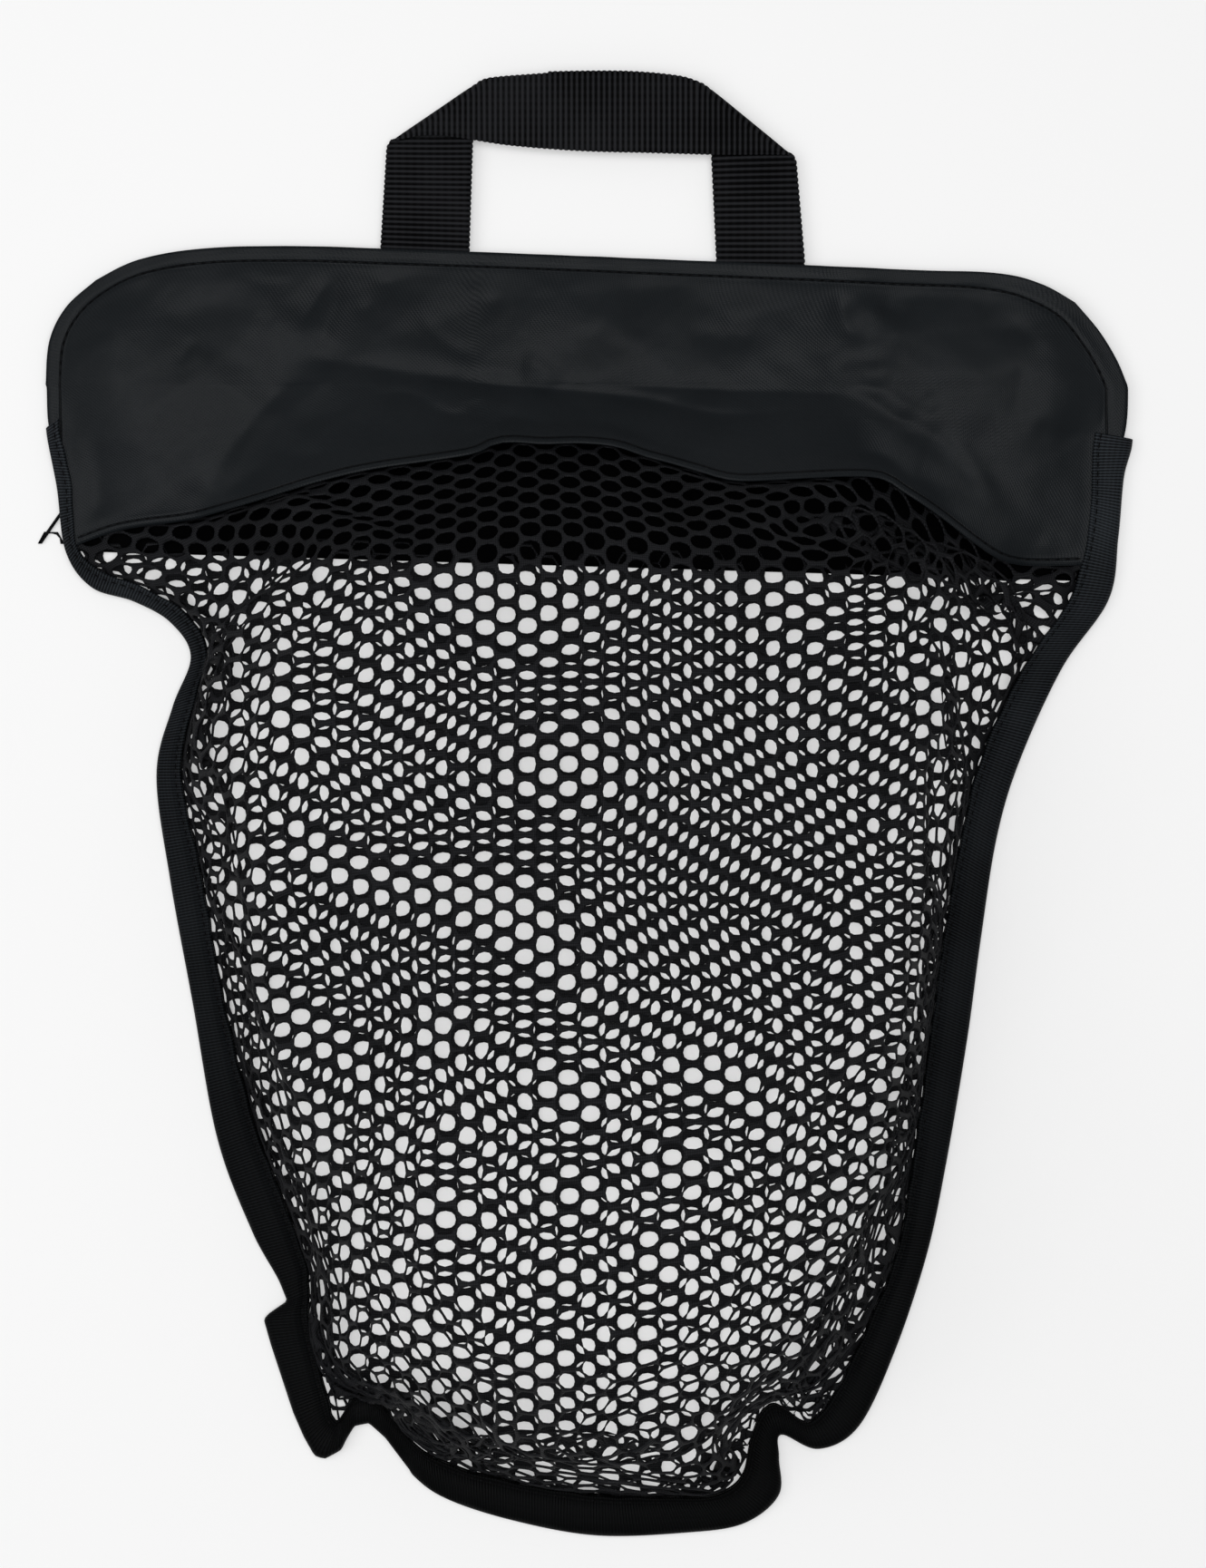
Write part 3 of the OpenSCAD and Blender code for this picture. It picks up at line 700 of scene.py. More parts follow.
# Front yoke and its mouth lip
# One piece of black woven nylon across the top of the bag, hemmed and stitched along the mouth.
# Its lower edge is turned under and sewn over the netting, the filling lifts it, and its upper part
# lies down as the lip that opens.
mouth_edge = np.array([[-155, 119.5], [-153.9, 132], [-149, 141.6], [-140.6, 149.2], [-128.6, 155],
    [-110, 158.2], [-84, 158.9], [-50, 157.9], [0, 156], [50, 153.9], [92, 152.2], [117, 151.2],
    [129.6, 148], [139, 142.8], [145.9, 134.9], [151, 126.8], [154.1, 119.5]], float)
mouth_left, mouth_top, mouth_right = mouth_edge[:4], mouth_edge[3:14], mouth_edge[::-1][:4]
crease_level = 8.6
mouth_level = 3.5
cloth = 0.55


def hem_wide(p):
    # the hem is wider round the right corner
    return mix(4.1, 6.0, soft((p[..., 0] - 100) / 42))


# creases and soft folds: points along each, half width, height
folds = [
    ([[-73, 151.3], [-76.6, 144.8], [-80.3, 138.4], [-83.4, 132.7]], 2.6, -1.7),
    ([[-69.4, 149.7], [-72.5, 141], [-75.4, 132.7], [-77.2, 126.5]], 3.2, 1.5),
    ([[-77.4, 124.9], [-70.7, 124.9], [-59.3, 123.6], [-37.6, 119.8], [-15.9, 117.9], [-2.2, 116.9],
        [16.4, 114.8], [32, 110.7], [44.6, 109.7], [60.1, 111.7], [71.5, 115.6]], 1.9, -1.5),
    ([[-77.4, 124.9], [-82.3, 121.3], [-89.8, 114.8], [-98.6, 105], [-106.1, 94.2],
        [-110.3, 85.9]], 3.4, -1.3),
    ([[-84.4, 124.1], [-92.2, 117.7], [-101.7, 107.9], [-109.5, 96.5], [-113.9, 86.7]], 5, 1.1),
    ([[-60.9, 112.8], [-58, 115.1], [-54.4, 115.9], [-48.2, 115.1], [-43, 111.5], [-38.9, 109.9],
        [-33.2, 109.2], [-28, 105.8]], 1.9, -1),
    ([[-33.2, 115.1], [-30.6, 110.4], [-29.1, 106.3]], 1.6, -0.8),
    ([[-111.6, 132.2], [-114.1, 128.5], [-117, 123.6]], 1.2, -0.7),
    ([[-103, 150.8], [-92.7, 148.5], [-81, 147.9]], 1.6, -0.6),
    ([[-114.9, 141], [-105.6, 142.5], [-99.7, 143.5]], 2, -0.5),
    ([[-95.3, 138.4], [-88.8, 137.3]], 1.5, -0.5),
    ([[-62.7, 149], [-52.9, 149]], 1.2, -0.5),
    ([[-67.1, 141], [-60.6, 141.5]], 1.5, -0.5),
    ([[-49.5, 141], [-42, 132.2], [-34.2, 128], [-30.1, 124.7]], 2.2, -1.1),
    ([[-20.3, 125.7], [-14.8, 124.7], [-9.9, 120.8], [-7.3, 118.7]], 2.4, -1.3),
    ([[-5, 130.1], [2.7, 134.5], [6.9, 137.9]], 2.5, -0.9),
    ([[-31.7, 143.8], [-23.4, 143.8]], 1.2, -0.5),
    ([[70.5, 150.3], [79.8, 149], [93.5, 149.7], [106.4, 148.7], [118.1, 148.2], [127.6, 143.5],
        [133.6, 139.7]], 3.4, -1.4),
    ([[70.5, 147.2], [72.6, 142], [74.1, 135.8], [79.8, 130.6]], 1.6, -1.2),
    ([[74.6, 144.1], [80.6, 139.7], [86, 135.8], [91.2, 129.6]], 3, 1.2),
    ([[62.2, 118.5], [70.5, 123.1], [76.7, 126.2], [88.3, 125.2]], 3, -1.4),
    ([[76.7, 121], [87.3, 121.6]], 1.3, -0.7),
    ([[72.6, 116.9], [79.8, 114.8], [87, 109.7], [93.5, 107.6], [98.7, 104.8]], 2.5, -1.5),
    ([[72.6, 118.7], [81.9, 117.7], [90.9, 112.5], [100, 107.3]], 2.4, 1),
    ([[83.9, 103.5], [94.5, 105], [100.7, 102.4], [105.9, 96.2], [111.1, 86.9],
        [115.2, 79.7]], 3.5, -1.5),
    ([[100, 106.3], [106.9, 100.1], [112.6, 91.6], [118.3, 83.3]], 3, 1.4),
    ([[121.4, 127.3], [123.5, 120], [120.4, 107.6]], 2.2, -0.9),
    ([[120.4, 107.6], [133.6, 107.1]], 1.6, -0.6),
    ([[37.4, 134.8], [47.7, 131.4]], 2, -0.8),
    ([[26.8, 135.8], [41.8, 131.6]], 2.6, -0.6),
    ([[96.3, 116.9], [100, 111.2]], 2, -0.6),
    ([[120.7, 139.7], [127.1, 130.6]], 1.6, -0.6),
    ([[81.9, 142.2], [93.5, 138.4]], 4, -0.9),
    ([[129.7, 76.3], [134.4, 69.8]], 1.4, 0.8),
    ([[-146.5, 107.3], [-144.4, 94.4], [-142.8, 80.2]], 3, 1),
    ([[-140.8, 107.3], [-139.7, 89.2], [-140.8, 76.3]], 2.6, -0.8)]


def tent(t):
    # a wave of straight slopes with slightly rounded crests, -1 to 1
    return np.arcsin(0.99 * np.sin(t)) / 1.43


def ridge(away, wide):
    # 1 on a line and soft slopes on both sides of it
    return np.exp(-(away / wide)**2)


def folded(p):
    z = np.zeros(p.shape[:-1])
    for points, wide, high in folds:
        far, along, side = line_distance(p, fine(np.array(points, float), 24))
        ends = soft(along / 0.35) * soft((1 - along) / 0.35)
        skew = np.where(side > 0, 0.8, 2.0)
        z += high * ends * np.exp(0.4 - np.sqrt((far / (wide * skew))**2 + 0.16))
    # the cloth was once packed: flat facets between slight straight creases, large to small
    x, y = p[..., 0], p[..., 1]
    z += 0.75 * np.minimum(tent(x / 12.5 + y / 17 + 1.5 * tent(y / 23)),
        tent(y / 9.4 - x / 21 + 1.3 * tent(x / 27)))
    z += 0.42 * np.maximum(tent(x / 6.1 - y / 9.7 + 1.7 * tent(y / 14)),
        tent(y / 5.2 + x / 12 + 1.1 * tent(x / 16)))
    z += 0.13 * np.maximum(tent(x / 2.3 + y / 4.1 + 1.9 * tent(y / 6.7)),
        tent(y / 2.1 - x / 5.3 + 1.6 * tent(x / 7.9)))
    return z


yoke_across, lower_down, lip_down = 250, 36, 32
crease_left, crease_right, crease_y = -155, 154.1, 119.4
low_line = np.concatenate([[tucked(yoke_left)], seam_plan, [tucked(yoke_right)]])
crease_row = np.linspace([crease_left, crease_y], [crease_right, crease_y], yoke_across + 1)
left_s, right_s = np.linspace([yoke_left, yoke_right], [0, 43], lower_down + 1).T
lower_plan = patch(even(low_line, yoke_across + 1), crease_row, tucked(left_s), tucked(right_s))[:-1]
lip_plan = patch(crease_row, even(fine(mouth_top), yoke_across + 1),
    even(fine(mouth_left), lip_down + 1), even(fine(mouth_right), lip_down + 1))


def seen_x(s):
    # x where the yoke comes out of the tape, and of its own edge past the tape's end
    return mix(margin(s), outer(s), past_tape(s)[:, None])[:, :1]


# height of each part over the table, low at the tape and lifted by the filling
side = np.minimum(lower_plan[..., 0] - seen_x(left_s[:-1]), seen_x(right_s[:-1]) - lower_plan[..., 0])
base = mix(front_level, crease_level, soft((lower_plan[..., 1] - 60) / 55) * soft(side / 22))
lower_z = np.where(side > 0, cloth_height(lower_plan, base), front_level)
lip_side = np.minimum(length(lip_plan - lip_plan[:, :1]), length(lip_plan - lip_plan[:, -1:]))
lip_z = mix(mix(front_level, crease_level, soft(lip_side / 22)), mouth_level,
    soft(np.linspace(0, 1, lip_down + 1))[:, None])
yoke_plan = np.concatenate([lower_plan, lip_plan])
yoke_z = np.concatenate([lower_z, lip_z])
yoke_side = np.concatenate([side, lip_side + 4])
# a tidy slope across the crease
crease_near = ridge(np.arange(len(yoke_z)) - len(lower_plan), 5.0)[:, None]
for _ in range(6):
    blur = yoke_z.copy()
    blur[1:-1] = (yoke_z[:-2] + 2 * yoke_z[1:-1] + yoke_z[2:]) / 4
    yoke_z = mix(yoke_z, blur, crease_near)

yoke_x = yoke_plan[..., 0]
rim_line = np.concatenate([[[-154.8, 95]], fine(mouth_edge, 160), [[154.6, 95]]])
to_mouth = line_distance(yoke_plan, rim_line)[0]
to_seam = line_distance(yoke_plan, seam_plan)[0]
# from this line down to the seam the cloth is drawn straight up on to the filling
climb_line = np.array([[-146, 73.5], [-126, 87], [-106.2, 101.9], [-77.4, 125.3], [-40, 121.5],
    [0, 119.2], [40, 117.2], [71.9, 116.2], [88, 111], [99.2, 105], [105.7, 97.2], [113.5, 87.1],
    [121, 76], [128, 70.5]])
to_climb = line_distance(yoke_plan, climb_line)[0]
foot_z = mix(front_level, crease_level, soft((150 - np.abs(yoke_x)) / 22))
seam_z = np.interp(yoke_x, seam_plan[:, 0], cloth_height(seam_plan, front_level))
ruled = mix(foot_z, seam_z, to_climb / np.maximum(to_climb + to_seam, 1e-6))
climbing = yoke_plan[..., 1] < np.interp(yoke_x, *climb_line.T)
yoke_z = np.where(climbing, np.maximum(yoke_z, ruled), yoke_z)
# towards both ends that line is no crease but a slow bend
slow = 0.5 * ridge(to_climb, 7) * soft((np.abs(yoke_x) - 74) / 14)
slow[0] = slow[-1] = 0
slow[:, 0] = slow[:, -1] = 0
for _ in range(40):
    around = (np.roll(yoke_z, 1, 0) + np.roll(yoke_z, -1, 0) + np.roll(yoke_z, 1, 1)
        + np.roll(yoke_z, -1, 1)) / 4
    yoke_z = mix(yoke_z, around, slow)
quiet = soft(yoke_side / 5) * soft((to_seam - 1) / 7) * mix(0.35, 1, soft((to_mouth - 3) / 6))
yoke_z = yoke_z + folded(yoke_plan) * quiet
# the hem: cloth turned under to a second layer, its stitch line pulled in
hem_gap = to_mouth - hem_wide(yoke_plan)
yoke_z += 0.5 * (1 - soft((hem_gap + 0.7) / 1.2)) - 0.5 * ridge(hem_gap, 0.6)
yoke_z += 0.18 * np.sin(yoke_x / 2.9 + 1.5 * np.sin(yoke_x / 14)) * ridge(to_mouth - 2.4, 1.6)
# the turned lower edge with its stitches
seam_inset = 1.9
turned_edge = 0.7 * ridge(to_seam - 0.7, 0.8) - 0.3 * ridge(to_seam - seam_inset, 0.5)
yoke_z += np.where(yoke_side > 1, turned_edge, 0) + 0.25
seam_gap = np.where(yoke_side > 0.5, to_seam - seam_inset, 50.0)
yoke_points = lift(yoke_plan, yoke_z)


def close_sheet(name, points, thick, flat, material, **marks):
    # a closed sheet from a grid of points, with its places in the flat cut and marked distances
    rows, columns = points.shape[:2]
    out = unit(np.cross(np.gradient(points, axis=1), np.gradient(points, axis=0)))
    turned = out[..., 2].mean() < 0
    if turned:
        out = -out
    both_sides = np.concatenate([(points + out * thick / 2).reshape(-1, 3),
        (points - out * thick / 2).reshape(-1, 3)])
    n = rows * columns
    index = np.arange(n).reshape(rows, columns)
    a, b, c, d = index[:-1, :-1], index[:-1, 1:], index[1:, 1:], index[1:, :-1]
    top_faces = np.stack([a, b, c, d], -1).reshape(-1, 4)
    low_faces = np.stack([a, d, c, b], -1).reshape(-1, 4) + n
    loop = np.concatenate([index[0, :-1], index[:-1, -1], index[-1, :0:-1], index[:0:-1, 0]])
    after = np.roll(loop, -1)
    faces = np.concatenate([top_faces, low_faces, np.stack([loop, loop + n, after + n, after], -1)])
    if turned:
        faces = faces[:, ::-1]
    piece = new_piece(name, both_sides, faces.tolist(), material, np.tile(flat.reshape(-1, 2), (2, 1)))
    for mark, values in marks.items():
        layer = piece.data.attributes.new(mark, "FLOAT", "POINT")
        layer.data.foreach_set("value", np.tile(values.ravel(), 2).astype(np.float32))
    return piece


# a twill weave: pitches and weights of its threads across, down and on the slant
weave_pitches = (0.62 * mm, 0.5 * mm, 0.95 * mm)
weave_weights = (0.25, 0.25, 0.5)
nylon = woven("woven_nylon", dark=(0.0047, 0.0061, 0.0072), light=(0.0100, 0.0119, 0.0140),
    roughness=0.44, shine=0.1, pitches=weave_pitches, weights=weave_weights, depth=0.05 * mm,
    grooves=("hem_gap", "seam_gap"))
run_down = run_along(yoke_points)
run_across = run_along(yoke_points.swapaxes(0, 1)).T
front_yoke = close_sheet("front_yoke_cloth", yoke_points, cloth, np.stack([run_across, run_down], -1),
    nylon, hem_gap=hem_gap, seam_gap=seam_gap)
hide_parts("front_yoke", "front_mouth_lip")
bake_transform(front_yoke)


# Back yoke
# The same woven nylon on the back, one flat piece that lies on the table. It is sewn to the back
# netting along its lower edge, hemmed at the mouth, and bound in the edge tape at both sides.
seam_high, seam_fall = 73, 10.7         # the seam's height at x = -200, and its fall to x = 200
rows, columns = 70, 240


def back_seam_y(x):
    return seam_high - seam_fall * (x + 200) / 400


def station_at(first, last, y):
    # the station at a height, between two stations on one side of the bag
    s = np.linspace(first, last, 400)
    return s[np.argmin(np.abs(tucked(s)[:, 1] - y))]


left_from, right_from = station_at(2, 6, 72), station_at(38, 41, 63.2)
left_line = np.concatenate([tucked(np.linspace(left_from, 0, 60)), fine(mouth_left, 30)[1:]])
right_line = np.concatenate([tucked(np.linspace(right_from, 43, 60)), fine(mouth_right, 30)[1:]])
low_x = np.linspace(tucked(left_from)[0], tucked(right_from)[0], columns + 1)
back_plan = patch(np.stack([low_x, back_seam_y(low_x)], -1), even(fine(mouth_top), columns + 1),
    even(left_line, rows + 1), even(right_line, rows + 1))
back_x, back_y = back_plan[..., 0], back_plan[..., 1]
in_tape = np.minimum(back_x - edge_x(6, 0, 50, back_y), edge_x(38, 43, 50, back_y) - back_x)
back_z = np.where(back_y < 117, mix(1.45, 0.55, soft((in_tape + 0.5) / 3)), 0.55)
to_mouth = line_distance(back_plan, rim_line)[0]
back_z += 0.3 * (1 - soft((to_mouth - hem_wide(back_plan) + 0.7) / 1.2))
back_z += 0.25 * np.abs(folded(back_plan[:, ::-1])) * soft((to_mouth - 5) / 6) * soft(in_tape / 5)
# the back nylon is coloured far darker than the front's: painted shade for the inside of the filled bag
shade_dark_nylon = woven("back_nylon_painted_shade", dark=(0.0002, 0.0002, 0.0003), light=(0.0009, 0.0009, 0.0011),
    roughness=0.7, shine=0.012, pitches=weave_pitches, weights=weave_weights, depth=0.035 * mm)
back_yoke = close_sheet("back_yoke_cloth", lift(back_plan, back_z), cloth, back_plan, shade_dark_nylon)
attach(back_yoke, "bag")
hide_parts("back_yoke")


# Back netting
# The same netting as on the front, lying flat on the table under the filling. It is sewn to the
# back yoke and bound in the edge tape.
def on_table(u, v):
    x = u + 0.7 * np.sin(v / 21 + 0.6 * np.sin(u / 17))
    y = -v + 68 + 0.8 * np.sin(u / 19 + v / 31)
    p = np.stack([x, y], -1)
    inside = depth_at(p)
    shift_inwards(p, np.clip(-2.6 - inside, 0, 6))
    z = mix(1.45, 0.6, soft((inside + 0.5) / 3)) + 0.12 * np.sin(u / 5) * np.sin(v / 6)
    up = np.zeros(p.shape[:-1] + (3,))
    up[..., 2] = 1
    return lift(p, z), up


back_cells = lattice(42)
at_cell = on_table(*back_cells.T)[0]
keep = (outline_depth(at_cell[:, :2]) > -1.6) & (at_cell[:, 1] < back_seam_y(at_cell[:, 0]) + 3)
back_net = build_netting("back_netting", back_cells[keep], on_table, pulled=False)
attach(back_net, "bag")
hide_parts("back_mesh")


# Edge tape
# Black ribbed tape, folded in half over the edges of both panels and sewn through with one line of
# stitches. It puckers along the seam and turns over on itself at the two lower corners.
tape_s = np.linspace(1, 42, 9000)
# the flap where the tape turns over at the lower left: station, outer edge, inner edge
flap = np.array([[13.8, -87.4, -139.4, -79.9, -136.3], [14.0, -86.1, -142.6, -79.4, -140],
    [14.3, -91.4, -146.2, -80, -144.6], [14.45, -92.8, -147.9, -80, -147.2],
    [15, -90.8, -155, -78.8, -153], [16, -84.4, -174.5, -74.4, -170.5],
    [16.5, -81.4, -181.4, -73.4, -175], [17, -78.3, -186.9, -72.2, -177],
    [17.25, -75.4, -187.9, -71.5, -177], [17.6, -70.6, -185.3, -70.2, -174.8],
    [17.8, -69, -182, -68.6, -172.2], [18, -66.8, -178.4, -66.6, -169.6],
    [18.5, -62.7, -177.6, -63.2, -168.4], [19, -58, -181.8, -59.2, -171.9],
    [19.5, -54.1, -187, -55.3, -176.7], [20, -50.6, -191.6, -51.8, -181]])
in_flap = (tape_s > flap[0, 0]) & (tape_s < flap[-1, 0])
# both ends are cut a little aslant
inner_s = tape_s - 0.2 * soft((1.5 - tape_s) / 0.5) + 0.13 * soft((tape_s - 41.5) / 0.5)
edges = np.concatenate([outer(tape_s), inner(inner_s)], -1)
# the flap's points go in, and all is made smooth along the tape
window = np.hanning(33)
for k in range(4):
    edges[in_flap, k] = np.interp(tape_s[in_flap], flap[:, 0], flap[:, k + 1])
    edges[:, k] = np.convolve(np.pad(edges[:, k], 15, mode="edge"), window[1:-1] / window.sum(),
        mode="valid")
tape_run = run_along((edges[:, :2] + edges[:, 2:]) / 2)
rings = int(tape_run[-1] / 0.9)
ring_run = np.linspace(0, tape_run[-1], rings)
ring_edges = places_on(edges, tape_run, ring_run)
tape_out, tape_in = ring_edges[:, :2], ring_edges[:, 2:]
tape_width = length(tape_out - tape_in)


def over_tape(reach):
    # the line that runs along the tape, so many millimetres out from its inner edge
    return tape_in + (tape_out - tape_in) * (reach / tape_width)[:, None]


tape_stitch_in, pucker = 1.65, 0.26
near_part = 2.25                        # width of the bead and the stitches along the inner edge
# round the folded tape: millimetres from its inner edge, share of the rest of its width, and level
profile = [(0.0, 0, 3.35), (0.12, 0, 3.85), (0.6, 0, 4.08), (1.2, 0, 4.02), (tape_stitch_in, 0, 3.45),
    (2.2, 0, 4.02), (near_part, 0.3, 4.2), (near_part, 0.6, 4.16), (near_part, 0.82, 3.85),
    (near_part, 0.94, 3.2), (near_part, 1.0, 2.1), (near_part, 0.985, 1.1), (near_part, 0.93, 0.4),
    (near_part, 0.8, 0.1), (near_part, 0.4, 0.04), (0.4, 0, 0.04), (0.0, 0, 0.2), (0.0, 0, 0.6),
    (0.5, 0, 0.72), (near_part, 0.6, 0.74), (near_part, 0.86, 1.3), (near_part, 0.9, 2.1),
    (near_part, 0.84, 2.8), (near_part, 0.6, 3.2), (0.6, 0, 3.3)]
# puckers along the seam
wave = (0.5 * np.sin(ring_run / 1.9 + 1.8 * np.sin(ring_run / 13))
    + 0.5 * np.sin(ring_run / 3.3 + 2 * np.sin(ring_run / 29)))
n = len(profile)
tape_points = np.zeros((rings, n, 3))
for k, (near, share, level) in enumerate(profile):
    reach = near + share * np.maximum(tape_width - near_part, 0.2)
    if near < 1 and share == 0:
        reach = reach + 0.22 * wave
    swell = pucker * wave * soft((level - 2) / 1.5) * (1 if share < 0.9 else 0.3)
    tape_points[:, k] = lift(over_tape(reach), level + swell)
index = np.arange(rings * n).reshape(rings, n)
walls = np.stack([index[:-1], np.roll(index[:-1], -1, 1), np.roll(index[1:], -1, 1), index[1:]], -1)
caps = [index[0][::-1].tolist(), index[-1].tolist()]
around = run_along(np.array([[near + 6 * share, level] for near, share, level in profile]))
flat = np.stack([np.repeat(ring_run, n), np.tile(around, rings)], -1)
# the tape's colour is dark in its rib grooves and light on its ribs, painted shade and highlight, and it
# is painted darker at the low end of the bag and lighter towards the mouth, painted light and shade
ribbed = woven("ribbed_tape", dark=(0.0004, 0.0004, 0.0005), light=(0.0110, 0.0130, 0.0152),
    roughness=0.55, shine=0.06, pitches=(0.85 * mm, 1.1 * mm), weights=(0.85, 0.15), depth=0.12 * mm,
    painted_weave_shade=0.5, painted_light_ramp=(-0.19, 0.11, 0.15, 2.5))
tape = new_piece("edge_tape", tape_points.reshape(-1, 3), walls.reshape(-1, 4).tolist() + caps, ribbed,
    flat)


def face_outwards(piece):
    clear_selection()
    bpy.context.view_layer.objects.active = piece
    piece.select_set(True)
    bpy.ops.object.mode_set(mode="EDIT")
    bpy.ops.mesh.select_all(action="SELECT")
    bpy.ops.mesh.normals_make_consistent(inside=False)
    bpy.ops.object.mode_set(mode="OBJECT")


face_outwards(tape)
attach(tape, "bag")
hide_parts("edge_binding")


# Carry handle
# One length of ribbed webbing 25 mm wide. Its ends are sewn in the mouth's hem, and at the top of
# each leg it is folded over on the slant to run across.
hem_slope, strap_level = -0.038, 5.35
strap_top = np.array([[-55, 189.4], [-52.6, 191.2], [-42, 198.4], [-33, 204.4], [-28, 206.5],
    [-12.6, 207.8], [-9.5, 208.3], [10.8, 208.4], [25.1, 207.2], [31, 205.6], [35, 203.6],
    [46, 194.8], [55.6, 187], [57.6, 185.3]])
strap_low = np.array([[-55, 189], [-46.4, 190.4], [-37.3, 189.8], [-23, 187.6], [-2, 185.9],
    [18.6, 185.3], [35.5, 184.9], [52, 185], [57.6, 184.9]])
rib_pitch = 1.55
# the webbing's colour is dark in its rib grooves and light on its rib crests, in step with the ribs'
# shape: painted shade and painted highlight
webbing = woven("webbing_black", dark=(0.0001, 0.0001, 0.0002), light=(0.0160, 0.0165, 0.0185),
    roughness=0.55, shine=0.025, pitches=(2.2 * mm, rib_pitch * mm), weights=(0.12, 0.88),
    depth=0.05 * mm, painted_weave_shade=0.58)


def ribs(run):
    return np.abs(np.cos(np.pi * run / rib_pitch))**0.8


def webbing_thick(least, selvedge, rib):
    # the webbing is thin at its woven edges and between its ribs
    half = least + 0.5 * soft(selvedge / 1.1) + 0.3 * (rib - 1) * soft(selvedge + 0.4)
    return 2 * half[..., None]


def across_webbing(first, second, third, count):
    # places across the webbing, close together at its woven edges
    return np.concatenate([[0, first, second], np.linspace(third, 1 - third, count),
        [1 - second, 1 - first, 1]])


# the strap across the top: its ribs stand upright and end on the two slanted folds
x_line = np.arange(-54.9, 57.6, rib_pitch / 6)
x, share = np.meshgrid(x_line, across_webbing(0.012, 0.04, 0.08, 20), indexing="ij")
rib = ribs(x)
top = np.interp(x, *fine(strap_top).T)
low = np.interp(x, *fine(strap_low).T)
selvedge = np.minimum(share, 1 - share) * (top - low)
low = low + 0.3 * (0.5 - rib)
top = top - 0.3 * (0.5 - rib) * (np.abs(x - 1) < 34)
y = mix(low, top, share)
to_fold = np.maximum(top - y, 0)
slant = soft((np.abs(x - 1.2) - 29) / 4)
z = (strap_level + 0.45 * np.cos((x - 1.25) / 38) + 0.9 * share * (1 - slant)
    - 0.9 * slant * (1 - soft(to_fold / 2.2)))
z += 0.25 * np.sin(x / 11) * (1 - share)
strap = close_sheet("handle_strap", np.stack([x, y, z], -1), webbing_thick(0.32, selvedge, rib),
    np.stack([y, x], -1), webbing)

# the legs: their ribs lie level, and under the strap they reach up to the folds
y_line = np.arange(155.0, 206.5, rib_pitch / 6)
y, share = np.meshgrid(y_line, across_webbing(0.01, 0.035, 0.075, 22), indexing="ij")
rise = np.clip((y - 157) / 30, 0, 1.1)
rib = ribs(y)
legs = []
for leg_name, side, inner_x, outer_x, turn_from, lean in (
        ("handle_leg_left", -1, (33.9, 33.0), (59.2, 57.5), 186.5, 0.0),
        ("handle_leg_right", 1, (36.7, 35.2), (61.9, 59.2), 182.5, 0.035)):
    # its two edges, counted outwards from the middle of the bag: the outer one follows the fold
    near_edge = mix(*inner_x, rise) + 0.3 * (0.5 - rib)
    far_edge = (mix(*outer_x, rise) - 0.3 * (0.5 - rib)
        - 2.2 * np.clip((y - turn_from) / 4, 0, 1.4)**2)
    fold = strap_top[::-side]
    fold = fold[side * fold[:, 0] > 27]
    above = y > fold[0, 1]
    fold_x = side * np.interp(y, fold[:, 1], fold[:, 0]) - 0.25
    far_edge = np.where(above, np.minimum(far_edge, fold_x), far_edge)
    near_edge = np.minimum(near_edge, far_edge - 0.3)
    left, right = (-far_edge, -near_edge) if side < 0 else (near_edge, far_edge)
    x = mix(left, right, share)
    middle_y = y + hem_slope * (x - 1.25) * (1 - rise) + lean * (x - 48)
    selvedge = np.minimum(share, 1 - share) * (right - left)
    to_fold = np.maximum(far_edge - side * x, 0)
    z = mouth_level + 0.05 + 0.75 * np.where(above, 1 - soft(to_fold / 2.2), 0)
    z = z + 0.3 * np.sin(x / 5.5) * rise
    legs.append(close_sheet(leg_name, np.stack([x, middle_y, z], -1),
        webbing_thick(0.3, selvedge, rib), np.stack([x, y], -1), webbing))

for piece in legs + [strap]:
    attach(piece, "handle")
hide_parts("carry_handle")


# Threads
# Black lockstitches, each a short slack loop of thread. They run along the mouth's hem, the turned
# edge of the front yoke and the edge tape.
thread, thread_face = new_finish("thread_black", roughness=0.6, shine=0.08)
thread_face.inputs["Base Color"].default_value = (0.0015, 0.0015, 0.0018, 1)
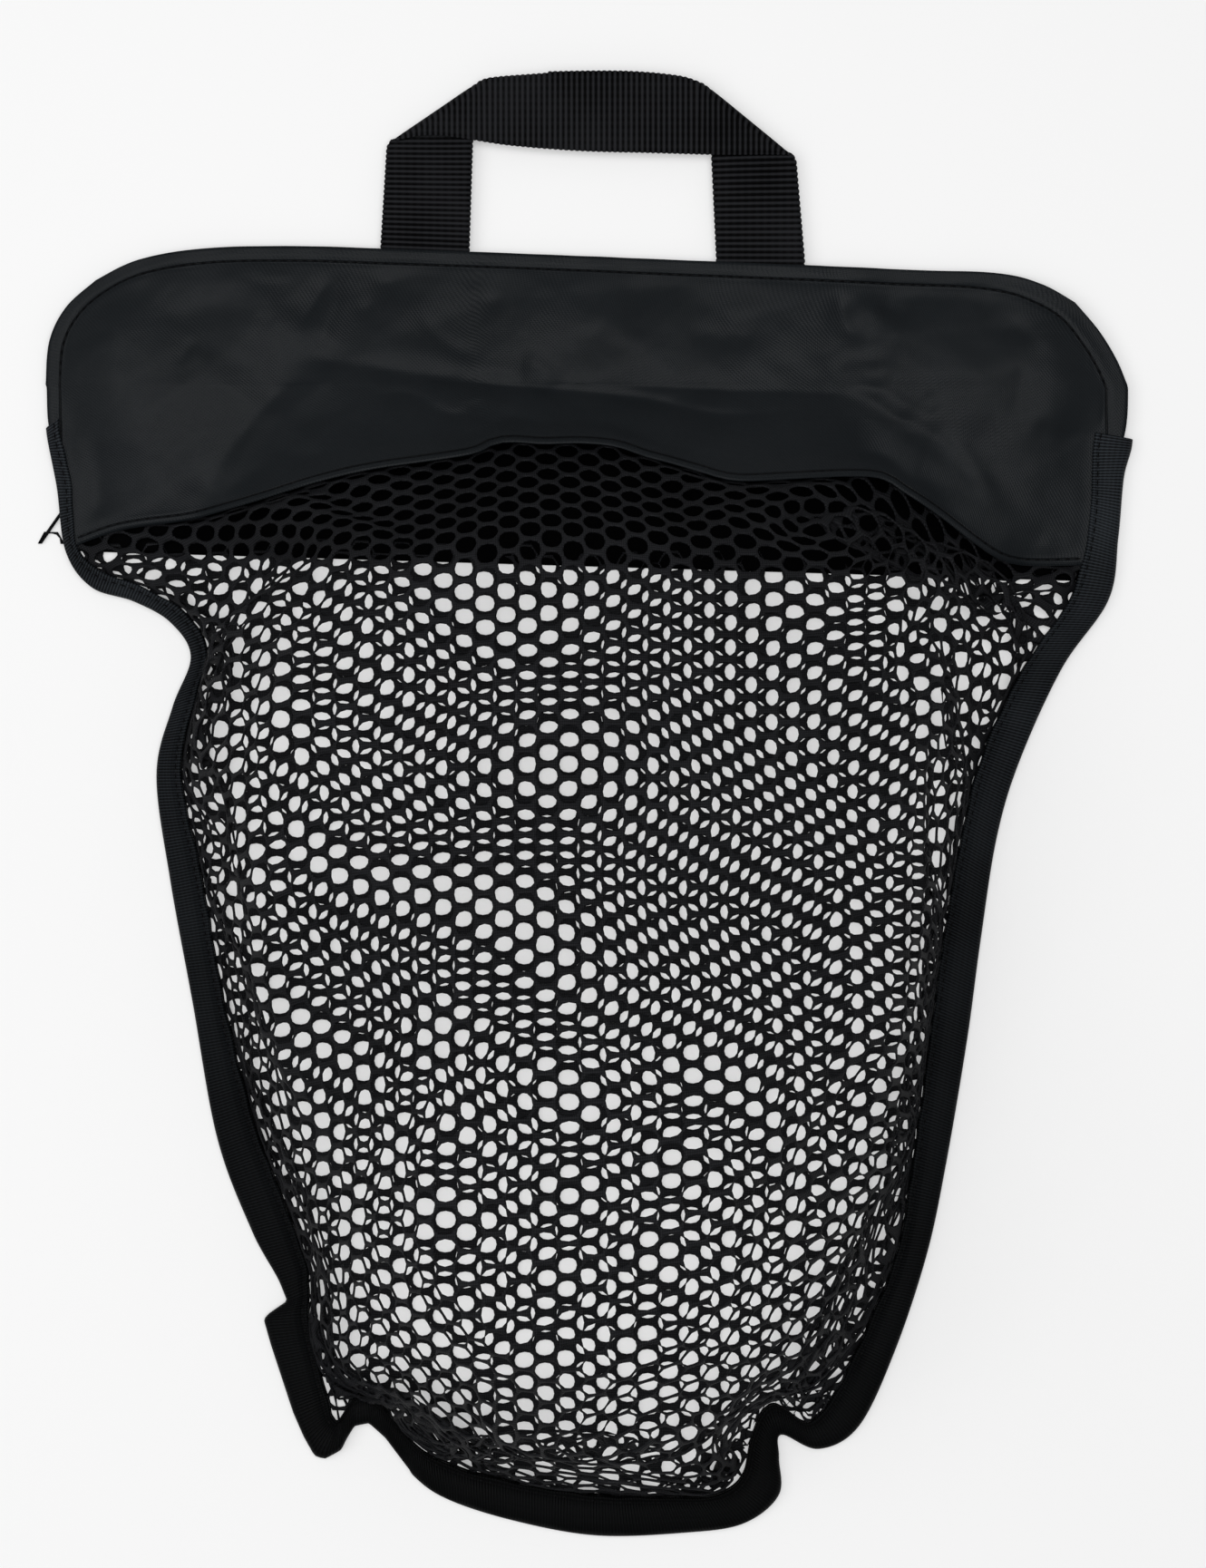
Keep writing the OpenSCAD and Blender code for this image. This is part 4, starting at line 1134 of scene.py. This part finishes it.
# one stitch: along the seam, across it and up, as shares of its length and of its width
stitch = np.array([[-0.5, 0, -0.4], [-0.3, -0.5, 0.1], [-0.3, 0.5, 0.1], [0, 0, 0.55], [0, -0.55, 0],
    [0, 0.55, 0], [0.3, -0.5, 0.1], [0.3, 0.5, 0.1], [0.5, 0, -0.4], [0, 0, -0.5]])
stitch_faces = [[0, 1, 3, 2], [1, 4, 3], [2, 3, 5], [3, 4, 6], [3, 7, 5], [3, 6, 8, 7], [0, 4, 1],
    [0, 2, 5], [4, 8, 6], [5, 7, 8], [0, 9, 4], [0, 5, 9], [4, 9, 8], [5, 8, 9]]


def stitches(name, line, spacing, long, wide, body):
    run = run_along(line)
    points, faces = [], []
    for middle in np.arange(spacing / 2, run[-1], spacing):
        p = places_on(line, run, middle)
        along = unit(places_on(line, run, middle + 0.5) - p)
        across = unit(np.cross([0, 0, 1.0], along))
        up = np.cross(along, across)
        faces += [[len(points) + corner for corner in face] for face in stitch_faces]
        points += [p + along * a * long + across * b * wide + up * c * wide for a, b, c in stitch]
    piece = new_piece(name, np.array(points), faces, thread)
    face_outwards(piece)
    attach(piece, body)


def off_line(line, distance):
    # a line beside another one, to its left
    d = np.gradient(line, axis=0)
    side_way = unit(np.stack([-d[:, 1], d[:, 0]], -1))
    return line + side_way * distance


def on_yoke(line):
    # lifts a line on to the front yoke's face
    high = []
    for p in line:
        far = np.sum((yoke_plan.reshape(-1, 2) - p)**2, axis=1)
        near = np.argpartition(far, 4)[:4]
        weight = 1 / (far[near] + 0.01)
        high.append(np.sum(yoke_z.reshape(-1)[near] * weight) / np.sum(weight) + cloth / 2)
    return lift(line, np.array(high))


mouth_line = fine(mouth_edge, 300)
hem_line = on_yoke(off_line(mouth_line, -hem_wide(mouth_line)[:, None]))
seam_line = on_yoke(off_line(even(seam_plan, 260), seam_inset))
tape_line = lift(over_tape(tape_stitch_in), 3.62 + pucker * wave)
stitches("hem_thread", hem_line[4:-4], spacing=2.9, long=2.2, wide=0.42, body="front_lip")
stitches("yoke_seam_thread", seam_line, spacing=2.9, long=2.2, wide=0.38, body="bag")
stitches("tape_thread", tape_line, spacing=2.7, long=2.0, wide=0.4, body="bag")
